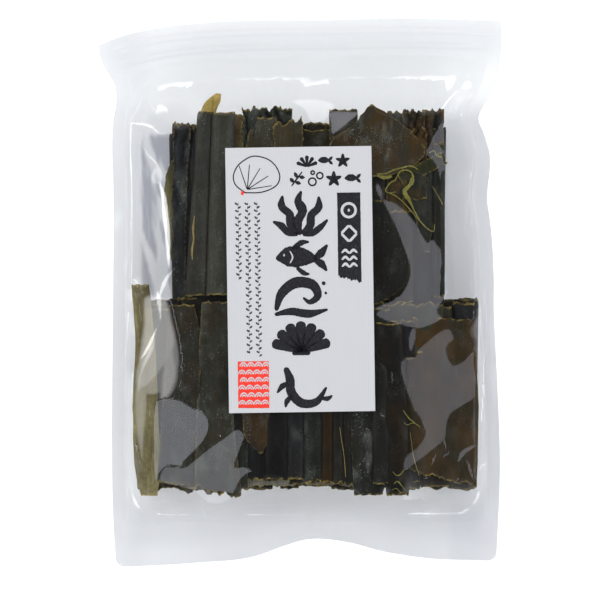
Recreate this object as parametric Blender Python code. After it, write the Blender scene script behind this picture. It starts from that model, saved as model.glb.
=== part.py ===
"""A clear zip pouch of cut dried kelp, lying on its back with its paper label up.

Metres, +Z up, +Y towards the zip. The origin is the middle of the pouch, at the surface it lies on.
The pouch is one solid out to its film: flat welds round the rim, film that climbs from them to the packed
kelp, and over the kelp the ridges of the folded strips that the film is drawn tight on.
"""

import bpy
import bmesh
import numpy as np

MM = 0.001

# Rim of the pouch, seen from the label side. Each side edge is x at stations along y, and each end edge is
# y at stations along x, all in millimetres. The filled pouch draws its sides in, most at its shoulders.
LEFT_EDGE = [(-137, -91.8), (-117, -93.0), (-73, -93.8), (-20, -93.4), (46, -93.0), (84, -93.3),
             (98, -91.6), (103, -92.2), (112, -97.4), (117, -99.6), (123.6, -100.7)]
RIGHT_EDGE = [(-134, 98.0), (-85, 99.7), (-42, 98.2), (-7, 96.6), (9, 96.6), (36, 94.7), (45, 93.4),
              (70, 94.4), (79, 91.8), (87, 89.0), (94, 92.0), (101, 96.6), (110, 98.7), (124, 100.7),
              (135.8, 100.4)]
BOTTOM_EDGE = [(-91.8, -137.0), (-53, -134.8), (-21, -131.0), (-8, -126.2), (2, -123.2), (24, -124.4),
               (41, -128.9), (58, -131.8), (98.0, -134.0)]
TOP_EDGE = [(-100.7, 123.6), (-91, 127.4), (-72, 132.0), (-47, 134.8), (15, 136.2), (48, 137.0),
            (100.4, 135.8)]
RIM_CORNER_RADIUS = 4.5

# Welds and zip, in millimetres
SIDE_WELD = 7.0
BOTTOM_WELD_Y = -114.0
HEADER_BAND = 18.5
WELD_THICKNESS = 0.7
ZIP_RIBS = [(4.6, 7.4), (12.4, 14.6)]
ZIP_RIB_HEIGHT = 0.5
ZIP_RIB_SHOULDER = 0.6
ZIP_END_GAP = 7.5

# Kelp inside, in millimetres: an upper and a lower row of cut pieces
ROW_GAP_Y = -4.0
ROW_GAP_BLEND = 13.0
ROW_GAP_WIDTH = 7.0
KELP_LEFT = (-67.0, -74.0)
KELP_RIGHT = (71.0, 83.0)
KELP_TOP = 90.0
KELP_BOTTOM = -99.0
KELP_HEIGHT = 31.0
CROWN_DROP = 6.0
CROWN_HALF_WIDTH = 88.0
CROWN_END_SHARE = 0.25
ROW_GAP_DIP = 1.6
BACK_REST_INSET = 0.10
CLIMB_START = 1.35

# Height of the welds above the surface, in millimetres: they hang free at mid-depth and droop outwards
WELD_HEIGHT = 12.5
HEADER_DROOP = 7.0
BOTTOM_DROOP = 5.0
SIDE_DROOP = 3.0
HEADER_DROOP_FROM = 92.0
BOTTOM_DROOP_FROM = 98.0
END_BUCKLE = 4.0
END_BUCKLE_X = 10.0
END_BUCKLE_WIDTH = 30.0

# Folded kelp that the film is drawn over: x of the middle, width, lower y, upper y, height over the kelp
# between, and lean as x per y, all in millimetres
KELP_RIDGES = [
    (-60.5, 10.0, -3.0, 80.0, 1.2, 0.00),
    (-52.0, 9.0, 0.0, 87.0, 3.0, 0.035),
    (-41.5, 11.0, 0.0, 87.0, 3.2, 0.03),
    (-18.0, 14.0, 68.0, 88.0, 1.6, 0.0),
    (-3.0, 16.0, 68.0, 86.0, 2.0, 0.0),
    (38.0, 34.0, 62.0, 90.0, 2.4, -0.25),
    (52.0, 14.0, -2.0, 55.0, 1.2, 0.08),
    (-61.0, 9.0, -98.0, -8.0, 2.2, 0.0),
    (-45.0, 20.0, -99.0, -8.0, 2.6, 0.0),
    (-24.0, 12.0, -100.0, -62.0, 1.0, 0.05),
    (-1.5, 7.0, -98.0, -62.0, 1.8, 0.0),
    (6.5, 8.0, -98.0, -62.0, 1.6, 0.0),
    (23.0, 8.0, -99.0, -62.0, 1.0, 0.0),
    (37.0, 16.0, -101.0, -62.0, 2.2, 0.02),
    (53.0, 11.0, -100.0, -62.0, 1.4, 0.03),
    (76.0, 22.0, -96.0, -10.0, 1.8, 0.0),
]
RIDGE_EDGE = 2.2

# Paper label stuck on the film
LABEL_WIDTH = 72.5
LABEL_LENGTH = 131.5
LABEL_CENTRE = (0.1, 6.5)
LABEL_TURN = np.radians(0.85)
LABEL_THICKNESS = 0.3
LABEL_GAP = 0.35
LABEL_MARGIN = 5.0
LABEL_FADE = 6.0
LABEL_SAG = 2.0
LABEL_GRID = (14, 20)
LABEL_SHARP_ANGLE = np.radians(30)

COLUMNS_OVER_BODY = 41
ROWS_OVER_BODY = 40
ROWS_OVER_FOOT = 6


def smooth_through(stations, at):
    """The value at each point of a smooth curve through (position, value) stations: a cubic in each span,
    whose slope at a station is that of the line between its two neighbours."""
    where, value = np.array(stations, float).T
    slope = np.gradient(value, where)
    span = np.clip(np.searchsorted(where, at) - 1, 0, len(where) - 2)
    length = where[span + 1] - where[span]
    t = np.clip((at - where[span]) / length, 0.0, 1.0)
    start = (1 + 2 * t) * (1 - t) ** 2 * value[span] + t * (1 - t) ** 2 * length * slope[span]
    end = t * t * (3 - 2 * t) * value[span + 1] + t * t * (t - 1) * length * slope[span + 1]
    return start + end


def soft_step(value, low, high):
    """0 below low, 1 above high, and a smooth S between."""
    t = np.clip((value - low) / (high - low), 0.0, 1.0)
    return t * t * (3 - 2 * t)


def soft_box(value, low, high, edge):
    """1 between low and high, 0 outside, with a smooth edge of that width centred on each limit."""
    rise = soft_step(value, low - edge / 2, low + edge / 2)
    fall = soft_step(value, high - edge / 2, high + edge / 2)
    return rise * (1 - fall)


def rim_grid(u, v):
    """x and y in millimetres of the pouch at shares u across and v up: its four edges blended over it."""
    left_y = LEFT_EDGE[0][0] + v * (LEFT_EDGE[-1][0] - LEFT_EDGE[0][0])
    right_y = RIGHT_EDGE[0][0] + v * (RIGHT_EDGE[-1][0] - RIGHT_EDGE[0][0])
    bottom_x = BOTTOM_EDGE[0][0] + u * (BOTTOM_EDGE[-1][0] - BOTTOM_EDGE[0][0])
    top_x = TOP_EDGE[0][0] + u * (TOP_EDGE[-1][0] - TOP_EDGE[0][0])
    left = np.array([smooth_through(LEFT_EDGE, left_y), left_y])
    right = np.array([smooth_through(RIGHT_EDGE, right_y), right_y])
    bottom = np.array([bottom_x, smooth_through(BOTTOM_EDGE, bottom_x)])
    top = np.array([top_x, smooth_through(TOP_EDGE, top_x)])
    corners = [np.array(point, float)[:, None] for point in (
        (LEFT_EDGE[0][1], LEFT_EDGE[0][0]), (RIGHT_EDGE[0][1], RIGHT_EDGE[0][0]),
        (LEFT_EDGE[-1][1], LEFT_EDGE[-1][0]), (RIGHT_EDGE[-1][1], RIGHT_EDGE[-1][0]))]
    between_sides = (1 - u) * left + u * right
    between_ends = (1 - v) * bottom + v * top
    over_corners = ((1 - u) * (1 - v) * corners[0] + u * (1 - v) * corners[1]
                    + (1 - u) * v * corners[2] + u * v * corners[3])
    return between_sides + between_ends - over_corners


def weld_height(x, y):
    """Height in millimetres of the pouch's middle sheet: level at mid-depth, drooping to its four edges,
    with one buckle that lifts the bottom edge where it is drawn up."""
    droop = HEADER_DROOP * soft_step(y, HEADER_DROOP_FROM, 140.0)
    droop = droop + BOTTOM_DROOP * soft_step(-y, BOTTOM_DROOP_FROM, 136.0)
    droop = droop + SIDE_DROOP * soft_step(np.abs(x), 80.0, 100.0)
    buckle = np.exp(-((x - END_BUCKLE_X) / END_BUCKLE_WIDTH) ** 2) * soft_step(-y, 112.0, 128.0)
    return WELD_HEIGHT - droop + END_BUCKLE * buckle


def row_value(pair, y):
    """A kelp size that is pair[0] along the upper row and pair[1] along the lower one."""
    upper = soft_step(y, ROW_GAP_Y - ROW_GAP_BLEND, ROW_GAP_Y + ROW_GAP_BLEND)
    return upper * pair[0] + (1 - upper) * pair[1]


def climbs(x, y, u, v, inset):
    """How far the film has climbed from each weld towards the kelp, 0 to 1, as four arrays. inset moves the
    kelp's edge inwards by that share of the climb, for the side that the pouch lies on."""
    weld_left = rim_grid(np.full_like(u, SIDE_SHARE), v)[0]
    weld_right = rim_grid(np.full_like(u, 1 - SIDE_SHARE), v)[0]
    weld_top = rim_grid(u, np.full_like(v, TOP_SHARE))[1]
    gaps = [
        (x - weld_left, row_value(KELP_LEFT, y) - weld_left),
        (weld_right - x, weld_right - row_value(KELP_RIGHT, y)),
        (y - BOTTOM_WELD_Y, KELP_BOTTOM - BOTTOM_WELD_Y),
        (weld_top - y, weld_top - KELP_TOP),
    ]
    return [np.clip(gone / (whole * (1 + inset)), 0.0, 1.0) for gone, whole in gaps]


def kelp_relief(x, y):
    """Height in millimetres of the folded strips over the kelp between them, less the dip between rows."""
    relief = np.zeros_like(x)
    for middle, width, low, high, height, lean in KELP_RIDGES:
        across = x - middle - lean * (y - (low + high) / 2)
        box = soft_box(across, -width / 2, width / 2, RIDGE_EDGE) * soft_box(y, low, high, RIDGE_EDGE)
        crest = 1 - 0.35 * np.clip(across / (width / 2), -1, 1) ** 2
        relief = np.maximum(relief, height * box * crest)
    return relief - ROW_GAP_DIP * np.exp(-((y - ROW_GAP_Y) / ROW_GAP_WIDTH) ** 2)


def label_frame(x, y):
    """x and y in millimetres measured from the label's middle, along its turned sides."""
    dx, dy = x - LABEL_CENTRE[0], y - LABEL_CENTRE[1]
    return (dx * np.cos(LABEL_TURN) + dy * np.sin(LABEL_TURN),
            -dx * np.sin(LABEL_TURN) + dy * np.cos(LABEL_TURN))


def crown_height(x, y):
    """Height in millimetres of the packed kelp: a low crown that falls off to the sides and ends."""
    fall = (x / CROWN_HALF_WIDTH) ** 2 + CROWN_END_SHARE * (y / CROWN_HALF_WIDTH) ** 4
    return KELP_HEIGHT - CROWN_DROP * fall


def over_kelp(x, y):
    """Height in millimetres of the film on the kelp. Under the stiff label the ridges fade out."""
    across, along = label_frame(x, y)
    half_width, half_length = LABEL_WIDTH / 2 + LABEL_MARGIN, LABEL_LENGTH / 2 + LABEL_MARGIN
    under_label = (soft_box(across, -half_width, half_width, LABEL_FADE)
                   * soft_box(along, -half_length, half_length, LABEL_FADE))
    return crown_height(x, y) + kelp_relief(x, y) * (1 - under_label) + LABEL_SAG * under_label


def zip_relief(u, v, x, y):
    """Height in millimetres of the two zip ribs, which follow the top edge and stop short of its ends."""
    from_top = rim_grid(u, np.ones_like(v))[1] - y
    ends = np.minimum(x - rim_grid(np.zeros_like(u), v)[0], rim_grid(np.ones_like(u), v)[0] - x)
    ribs = sum(soft_box(from_top, low, high, ZIP_RIB_SHOULDER) for low, high in ZIP_RIBS)
    return ZIP_RIB_HEIGHT * ribs * soft_step(ends, ZIP_END_GAP - 2, ZIP_END_GAP)


def film_heights(u, v, x, y):
    """Heights in millimetres of the front and the back film."""
    middle = weld_height(x, y)
    half = WELD_THICKNESS / 2 + zip_relief(u, v, x, y)
    front_rise = np.prod([np.sin(np.pi / 2 * t ** CLIMB_START) for t in climbs(x, y, u, v, 0.0)], axis=0)
    front = middle + half + np.maximum(over_kelp(x, y) - middle, 0.0) * front_rise
    back_fall = np.prod([soft_step(t, 0.0, 1.0) for t in climbs(x, y, u, v, BACK_REST_INSET)], axis=0)
    back = np.where(back_fall > 0.999, 0.0, (middle - half) * (1 - back_fall))
    return front, back


def row_shares():
    """Shares v, bottom to top, of the grid's rows: even over the body, with rows of their own at the zip."""
    edge = ZIP_RIB_SHOULDER / 2
    ribs = [at for low, high in ZIP_RIBS for at in (low - edge, low + edge, high - edge, high + edge)]
    header = [1 - at / POUCH_LENGTH for at in [HEADER_BAND, *reversed(ribs), 0.0]]
    body = np.linspace(BOTTOM_SHARE, TOP_SHARE, ROWS_OVER_BODY)
    foot = np.linspace(0.0, BOTTOM_SHARE, ROWS_OVER_FOOT)
    return np.concatenate([foot[:-1], body, header[1:]])


def column_shares():
    """Shares u, left to right, of the grid's columns, with a column on each side weld's inner line."""
    body = np.linspace(SIDE_SHARE, 1 - SIDE_SHARE, COLUMNS_OVER_BODY)
    weld = [0.0, SIDE_SHARE / 2]
    return np.concatenate([weld, body, [1 - weld[1], 1.0]])


def round_rim_corners(x, y):
    """Moves the two bottom corners in onto a circle. Points are in millimetres."""
    radius = RIM_CORNER_RADIUS
    for (corner_x, corner_y), side in ((BOTTOM_EDGE[0], 1), (BOTTOM_EDGE[-1], -1)):
        centre_x, centre_y = corner_x + side * radius, corner_y + radius
        dx, dy = x - centre_x, y - centre_y
        inside = (side * dx < 0) & (dy < 0)
        square_reach = np.maximum(np.abs(dx), np.abs(dy))
        reach = np.where(inside, square_reach / np.maximum(np.hypot(dx, dy), 1e-9), 1.0)
        x, y = centre_x + dx * reach, centre_y + dy * reach
    return x, y


def grid_slab(name, columns, rows, lower, upper):
    """A grid primitive extruded once into a closed slab, as an object. lower and upper give the points of
    its two sheets in metres, row by row."""
    frame = bmesh.new()
    bmesh.ops.create_grid(frame, x_segments=columns - 1, y_segments=rows - 1, size=1.0)
    lower_sheet = set(frame.verts)
    bmesh.ops.extrude_face_region(frame, geom=frame.faces[:], use_keep_orig=True)
    for vertex in frame.verts:
        column = round((vertex.co.x + 1) / 2 * (columns - 1))
        row = round((vertex.co.y + 1) / 2 * (rows - 1))
        sheet = lower if vertex in lower_sheet else upper
        vertex.co = sheet[row * columns + column]
    bmesh.ops.recalc_face_normals(frame, faces=frame.faces[:])
    mesh = bpy.data.meshes.new(name)
    frame.to_mesh(mesh)
    frame.free()
    slab = bpy.data.objects.new(name, mesh)
    POUCH.objects.link(slab)
    return slab


def principled(name, colour, roughness):
    """A plain Principled material."""
    material = bpy.data.materials.new(name)
    material.use_nodes = True
    shader = material.node_tree.nodes["Principled BSDF"]
    shader.inputs["Base Color"].default_value = (*colour, 1.0)
    shader.inputs["Roughness"].default_value = roughness
    shader.inputs["Metallic"].default_value = 0.0
    return material


def build_bag():
    """The pouch, solid out to its film."""
    u_lines, v_lines = column_shares(), row_shares()
    u, v = [grid.ravel() for grid in np.meshgrid(u_lines, v_lines)]
    x, y = rim_grid(u, v)
    front, back = film_heights(u, v, x, y)
    x, y = round_rim_corners(x, y)
    lower, upper = [np.stack([x, y, z], axis=1) * MM for z in (back, front)]
    bag = grid_slab("bag", len(u_lines), len(v_lines), lower, upper)
    bag.data.shade_smooth()
    bag.data.materials.append(principled("clear_film_over_kelp", (0.10, 0.10, 0.07), 0.15))
    return bag


def build_label():
    """The paper label: a thin plate that follows the film under it."""
    columns, rows = LABEL_GRID
    across_lines = np.linspace(-LABEL_WIDTH / 2, LABEL_WIDTH / 2, columns)
    along_lines = np.linspace(-LABEL_LENGTH / 2, LABEL_LENGTH / 2, rows)
    across, along = [grid.ravel() for grid in np.meshgrid(across_lines, along_lines)]
    x = LABEL_CENTRE[0] + across * np.cos(LABEL_TURN) - along * np.sin(LABEL_TURN)
    y = LABEL_CENTRE[1] + across * np.sin(LABEL_TURN) + along * np.cos(LABEL_TURN)
    under = over_kelp(x, y) + WELD_THICKNESS / 2 + LABEL_GAP
    lower, upper = [np.stack([x, y, z], axis=1) * MM for z in (under, under + LABEL_THICKNESS)]
    label = grid_slab("label", columns, rows, lower, upper)
    label.data.set_sharp_from_angle(angle=LABEL_SHARP_ANGLE)
    label.data.materials.append(principled("laid_paper", (0.66, 0.67, 0.69), 0.85))
    return label


SIDE_SHARE = SIDE_WELD / (RIGHT_EDGE[3][1] - LEFT_EDGE[3][1])
POUCH_LENGTH = TOP_EDGE[3][1] - BOTTOM_EDGE[1][1]
BOTTOM_SHARE = (BOTTOM_WELD_Y - BOTTOM_EDGE[1][1]) / POUCH_LENGTH
TOP_SHARE = 1 - HEADER_BAND / POUCH_LENGTH

for old in list(bpy.data.objects):
    bpy.data.objects.remove(old)
POUCH = bpy.data.collections.new("kelp_pouch")
bpy.context.scene.collection.children.link(POUCH)
build_bag()
build_label()
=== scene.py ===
"""Looks of a clear zip pouch packed with folded dried kelp, with a tall paper label on its front.

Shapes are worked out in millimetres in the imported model's frame, where +Y runs from the bottom weld to the
zip and +Z points out of the labelled front. The kelp comes first, then the film that is drawn over it, then
the label on the film and the ink on the label.
"""

import logging
import math
from dataclasses import dataclass, field
from enum import Enum

import bpy
import numpy as np
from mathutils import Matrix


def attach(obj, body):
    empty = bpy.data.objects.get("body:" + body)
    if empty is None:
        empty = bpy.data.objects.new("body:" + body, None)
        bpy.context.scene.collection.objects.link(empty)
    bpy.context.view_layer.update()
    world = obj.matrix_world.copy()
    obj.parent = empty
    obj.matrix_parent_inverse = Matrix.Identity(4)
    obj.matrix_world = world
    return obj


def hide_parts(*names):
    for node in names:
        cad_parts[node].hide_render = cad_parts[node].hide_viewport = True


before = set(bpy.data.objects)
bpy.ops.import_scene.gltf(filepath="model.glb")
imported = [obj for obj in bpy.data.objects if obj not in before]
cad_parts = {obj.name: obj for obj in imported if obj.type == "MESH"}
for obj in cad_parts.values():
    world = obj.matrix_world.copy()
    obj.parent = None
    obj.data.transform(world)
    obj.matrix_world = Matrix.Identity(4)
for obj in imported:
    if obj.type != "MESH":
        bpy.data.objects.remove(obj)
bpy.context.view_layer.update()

Array = np.ndarray
Stations = list[tuple[float, float]]
Tree = bpy.types.NodeTree
Socket = bpy.types.NodeSocket
Material = bpy.types.Material
Piece = bpy.types.Object

MM = 0.001
LOG = logging.getLogger("kelp_pouch")
BODY = "root"
LAMP_DISTANCE = 1.6
CAMERA_HEIGHT = 4.0
FILM_HEIGHT = 0.022
BED_MIDDLE = 24.5
TINY = 1e-9


# Helpers on arrays

def smooth_step(value: Array, low: float, high: float) -> Array:
    """S curve 3t^2 - 2t^3, where t is how far value has gone from low to high, held to 0..1."""
    t = np.clip((value - low) / (high - low), 0.0, 1.0)
    return t * t * (3 - 2 * t)


def smooth_box(value: Array, low: float, high: float, edge: float) -> Array:
    """1 between low and high and 0 outside: an S curve up times an S curve down, each as wide as the edge."""
    rise = smooth_step(value, low - edge / 2, low + edge / 2)
    return rise * (1 - smooth_step(value, high - edge / 2, high + edge / 2))


def along(stations: Stations, share: Array) -> Array:
    """Position at a share of the way from the first station to the last."""
    return stations[0][0] + share * (stations[-1][0] - stations[0][0])


def shares(columns: int, rows: int) -> list[Array]:
    """Even shares from 0 to 1 across and up a grid."""
    return np.meshgrid(np.linspace(0, 1, columns), np.linspace(0, 1, rows))


def placed(x: Array, y: Array, z: Array) -> Array:
    """A grid of points from the grids of their coordinates."""
    return np.stack([x, y, z], axis=2)


def smooth_through(stations: Stations, at: Array) -> Array:
    """Cubic through stations, its slope at each one that of the line between the station's neighbours.

    Args:
        stations: (position, value) pairs, by rising position.
        at: Positions to read.

    Returns:
        The value at each position.
    """
    where, value = np.array(stations, float).T
    slope = np.gradient(value, where)
    span = np.clip(np.searchsorted(where, at) - 1, 0, len(where) - 2)
    length = where[span + 1] - where[span]
    t = np.clip((at - where[span]) / length, 0.0, 1.0)
    start = (1 + 2 * t) * (1 - t) ** 2 * value[span] + t * (1 - t) ** 2 * length * slope[span]
    end = t * t * (3 - 2 * t) * value[span + 1] + t * t * (t - 1) * length * slope[span + 1]
    return start + end


def ripple(x: Array, y: Array, size: float, seed: int) -> Array:
    """Uneven waves: a sum of cosines with seeded directions and phases, at three wavelengths down from size.

    Args:
        x: First coordinate.
        y: Second coordinate.
        size: Longest wavelength, in the coordinates' unit.
        seed: Seed of the directions and phases.

    Returns:
        Heights of about -1 to 1.
    """
    draw = np.random.default_rng(seed)
    total = np.zeros(np.broadcast(x, y).shape)
    for octave, strength in enumerate((1.0, 0.55, 0.3)):
        for _ in range(4):
            angle, phase = draw.uniform(0, 2 * math.pi, 2)
            pitch = size / (1.9 ** octave) * draw.uniform(0.8, 1.25)
            wave = np.cos(2 * math.pi * (x * math.cos(angle) + y * math.sin(angle)) / pitch + phase)
            total = total + strength * wave
    return total / 3.2


def ragged(t: Array, seed: int) -> Array:
    """Torn edge: a sum of triangle waves of 3 to 31 teeth with seeded phases.

    Args:
        t: Share along the edge, 0 to 1.
        seed: Seed of the phases.

    Returns:
        Offsets of about -1 to 1.
    """
    draw = np.random.default_rng(seed)
    total = np.zeros_like(t, dtype=float)
    for teeth, strength in ((3, 0.8), (7, 0.6), (13, 0.5), (31, 0.35)):
        share = (t * teeth * draw.uniform(0.8, 1.2) + draw.uniform()) % 1.0
        total = total + strength * (np.abs(share - 0.5) * 4 - 1)
    return total / 1.6


def inside_outline(x: Array, y: Array, outline: Stations) -> Array:
    """Whether points lie in a closed outline: a point is inside if its rightward ray crosses it an odd number
    of times.

    Args:
        x, y: The points.
        outline: (x, y) corners in order.

    Returns:
        1.0 inside and 0.0 outside.
    """
    odd = np.zeros(x.shape, bool)
    for (ax, ay), (bx, by) in zip(outline, outline[1:] + outline[:1]):
        if ay == by:
            continue
        crosses = ((y < ay) != (y < by)) & (x < ax + (y - ay) * (bx - ax) / (by - ay))
        odd ^= crosses
    return odd.astype(float)


def rounded(outline: Stations, points_a_side: int = 6) -> Stations:
    """Closed Catmull-Rom curve through an outline's corners.

    Args:
        outline: (x, y) corners in order.
        points_a_side: Points between one corner and the next.

    Returns:
        (x, y) points of the curve in order.
    """
    p = np.array(outline, float)
    before, after, far = np.roll(p, 1, 0), np.roll(p, -1, 0), np.roll(p, -2, 0)
    t = (np.arange(points_a_side) / points_a_side)[:, None, None]
    curve = 0.5 * (2 * p + (after - before) * t + (2 * before - 5 * p + 4 * after - far) * t ** 2
                   + (3 * p - before - 3 * after + far) * t ** 3)
    return [tuple(point) for point in curve.transpose(1, 0, 2).reshape(-1, 2)]


def path_through(points: Stations, count: int) -> Array:
    """Open Catmull-Rom curve through points.

    Args:
        points: (x, y) points in order.
        count: Points wanted along the whole curve.

    Returns:
        (count, 2) points, evenly spaced in the curve's own parameter.
    """
    p = np.array(points, float)
    p = np.vstack([2 * p[0] - p[1], p, 2 * p[-1] - p[-2]])
    at = np.linspace(0, len(p) - 3 - TINY, count)
    i, t = at.astype(int), (at % 1.0)[:, None]
    a, b, c, d = p[i], p[i + 1], p[i + 2], p[i + 3]
    square, cube = (2 * a - 5 * b + 4 * c - d) * t ** 2, (3 * b - a - 3 * c + d) * t ** 3
    return 0.5 * (2 * b + (c - a) * t + square + cube)


def ribbon(path: Stations, widths: tuple[float, ...], rough: float, blunt: bool,
           seed: int) -> tuple[Array, Array]:
    """A flat ribbon carried along a path. Its half width is read from the widths, rounded off at the ends by
    sqrt(1 - (1 - d)^2) over the first half width, and made uneven by torn teeth.

    Args:
        path: Points that it follows.
        widths: Widths of the ribbon, evenly spaced along it.
        rough: How uneven its edges are.
        blunt: True for square ends.
        seed: Seed of the unevenness.

    Returns:
        First and second coordinates on a grid of points along and across the ribbon.
    """
    rough_path = np.array(path, float)
    length = np.linalg.norm(np.diff(rough_path, axis=0), axis=1).sum()
    count = max(int(length / 0.45), 8)
    middle = path_through(path, count)
    along = np.linspace(0, 1, count)
    half = np.interp(along, np.linspace(0, 1, len(widths)), widths) / 2
    step = np.gradient(middle, axis=0)
    step = step / np.maximum(np.linalg.norm(step, axis=1, keepdims=True), TINY)
    side = np.stack([-step[:, 1], step[:, 0]], axis=1)
    if not blunt:
        from_end = np.minimum(along, 1 - along) * length / np.maximum(half, 0.05)
        half = half * np.sqrt(np.clip(1 - (1 - np.clip(from_end, 0, 1)) ** 2, 0.002, 1))
    teeth = max(length / 6, 1)
    left = half * (1 + rough * ragged(along * teeth, seed))
    right = half * (1 + rough * ragged(along * teeth, seed + 1))
    share = np.linspace(-1, 1, 5)[None, :]
    reach = np.where(share > 0, left[:, None] * share, right[:, None] * share)
    return middle[:, :1] - side[:, :1] * reach, middle[:, 1:] - side[:, 1:] * reach


def distance_to(line: Array, x: Array, y: Array) -> tuple[Array, Array]:
    """Distance of points from a chain of straight pieces, and the share along it of the nearest place.

    Args:
        line: (n, 2) ends of the pieces.
        x, y: The points.

    Returns:
        Distances and shares.
    """
    nearest, along = np.full(x.shape, 1e9), np.zeros(x.shape)
    for number, (a, b) in enumerate(zip(line[:-1], line[1:])):
        run = b - a
        t = np.clip(((x - a[0]) * run[0] + (y - a[1]) * run[1]) / max(run @ run, TINY), 0.0, 1.0)
        distance = np.hypot(x - a[0] - t * run[0], y - a[1] - t * run[1])
        along = np.where(distance < nearest, (number + t) / (len(line) - 1), along)
        nearest = np.minimum(distance, nearest)
    return nearest, along


def blurred(values: Array, passes: int) -> Array:
    """Repeated mean of each value and its four neighbours, with the rim repeated outwards.

    Args:
        values: Values on a grid.
        passes: How many times to average.

    Returns:
        The softened grid.
    """
    for _ in range(passes):
        wide = np.pad(values, 1, mode="edge")
        values = (2 * values + wide[1:-1, :-2] + wide[1:-1, 2:] + wide[:-2, 1:-1] + wide[2:, 1:-1]) / 6
    return values


# Meshes from grids

def quads(rows: int, columns: int) -> Array:
    """Corner numbers of a grid's quads, anticlockwise as seen from +Z where columns run to +X and rows to +Y.

    Args:
        rows: Points up the grid.
        columns: Points across the grid.

    Returns:
        (quads, 4) numbers of points, counted along each row.
    """
    corner = np.arange(rows * columns).reshape(rows, columns)
    sides = (corner[:-1, :-1], corner[:-1, 1:], corner[1:, 1:], corner[1:, :-1])
    return np.stack([side.ravel() for side in sides], axis=1)


def rim_loop(rows: int, columns: int) -> Array:
    """Numbers of a grid's rim points, anticlockwise from the first point, which isn't repeated."""
    corner = np.arange(rows * columns).reshape(rows, columns)
    return np.concatenate([corner[0, :-1], corner[:-1, -1], corner[-1, :0:-1], corner[:0:-1, 0]])


@dataclass
class MeshBatch:
    """Grids gathered into one mesh, with numbers kept at each point.

    Attributes:
        name: Name of the piece.
        points: One (n, 3) array in millimetres for each grid added.
        faces: One (m, 4) array of point numbers for each grid added.
        marks: For each attribute, one array for each grid added.
        count: How many points are kept so far.
    """

    name: str
    points: list[Array] = field(default_factory=list)
    faces: list[Array] = field(default_factory=list)
    marks: dict[str, list[Array]] = field(default_factory=dict)
    count: int = 0

    def add_grid(self, grid: Array, marks: dict[str, Array] | None = None) -> None:
        """Adds one open sheet of (rows, columns, 3) points, with attribute values on the same grid."""
        rows, columns = grid.shape[:2]
        self._keep(grid.reshape(-1, 3), quads(rows, columns), marks or {}, 1)

    def add_slab(self, upper: Array, lower: Array, marks: dict[str, Array] | None = None) -> None:
        """Adds two sheets and the wall that joins their rims, as one closed shell.

        Args:
            upper: (rows, columns, 3) points of the sheet that faces out.
            lower: The same points on the other side.
            marks: Attribute values on the same grid, given to both sheets.
        """
        rows, columns = upper.shape[:2]
        top = quads(rows, columns)
        under = top[:, ::-1] + rows * columns
        loop = rim_loop(rows, columns)
        after = np.roll(loop, -1)
        wall = np.stack([loop + rows * columns, after + rows * columns, after, loop], axis=1)
        points = np.concatenate([upper.reshape(-1, 3), lower.reshape(-1, 3)])
        self._keep(points, np.concatenate([top, under, wall]), marks or {}, 2)

    def _keep(self, points: Array, faces: Array, marks: dict[str, Array], sheets: int) -> None:
        """Stores one grid's arrays, with its point numbers moved past those already kept."""
        self.points.append(points)
        self.faces.append(faces + self.count)
        for name, values in marks.items():
            flat = values.reshape(len(points) // sheets, -1)
            self.marks.setdefault(name, []).append(np.concatenate([flat] * sheets))
        self.count += len(points)

    def build(self, material: Material, sharp_degrees: float = 180.0) -> Piece:
        """Makes the object, at the origin, with its place in its mesh, riding on the body.

        Args:
            material: The finish.
            sharp_degrees: Angle past which an edge is shaded sharp.

        Returns:
            The new object.
        """
        points = np.concatenate(self.points) * MM
        faces = np.concatenate(self.faces)
        mesh = bpy.data.meshes.new(self.name)
        mesh.vertices.add(len(points))
        mesh.vertices.foreach_set("co", points.astype(np.float32).ravel())
        mesh.loops.add(faces.size)
        mesh.loops.foreach_set("vertex_index", faces.astype(np.int32).ravel())
        mesh.polygons.add(len(faces))
        mesh.polygons.foreach_set("loop_start", np.arange(0, faces.size, 4, dtype=np.int32))
        mesh.update(calc_edges=True)
        for name, parts in self.marks.items():
            values = np.concatenate(parts).astype(np.float32)
            kind = {1: "FLOAT", 3: "FLOAT_VECTOR", 4: "FLOAT_COLOR"}[values.shape[1]]
            stored = {"FLOAT": "value", "FLOAT_VECTOR": "vector", "FLOAT_COLOR": "color"}[kind]
            mesh.attributes.new(name, kind, "POINT").data.foreach_set(stored, values.ravel())
        mesh.shade_smooth()
        if sharp_degrees < 180.0:
            mesh.set_sharp_from_angle(angle=math.radians(sharp_degrees))
        mesh.materials.append(material)
        piece = bpy.data.objects.new(self.name, mesh)
        bpy.context.scene.collection.objects.link(piece)
        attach(piece, BODY)
        LOG.info("%s: %d faces", self.name, len(faces))
        return piece


def unit(vectors: Array) -> Array:
    """Vectors, along the last axis, scaled to a length of 1."""
    return vectors / np.maximum(np.linalg.norm(vectors, axis=-1, keepdims=True), TINY)


def sheet_normals(grid: Array) -> Array:
    """Unit normals of a grid: the cross product of its slopes along columns and along rows."""
    return unit(np.cross(np.gradient(grid, axis=1), np.gradient(grid, axis=0)))


# Materials

def linear(hex_colour: str) -> tuple[float, float, float, float]:
    """A hex colour as linear light: c/12.92 up to 0.04045, ((c + 0.055)/1.055)^2.4 above, and alpha 1."""
    levels = [int(hex_colour[i:i + 2], 16) / 255 for i in (1, 3, 5)]
    return (*(c / 12.92 if c <= 0.04045 else ((c + 0.055) / 1.055) ** 2.4 for c in levels), 1.0)


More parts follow.
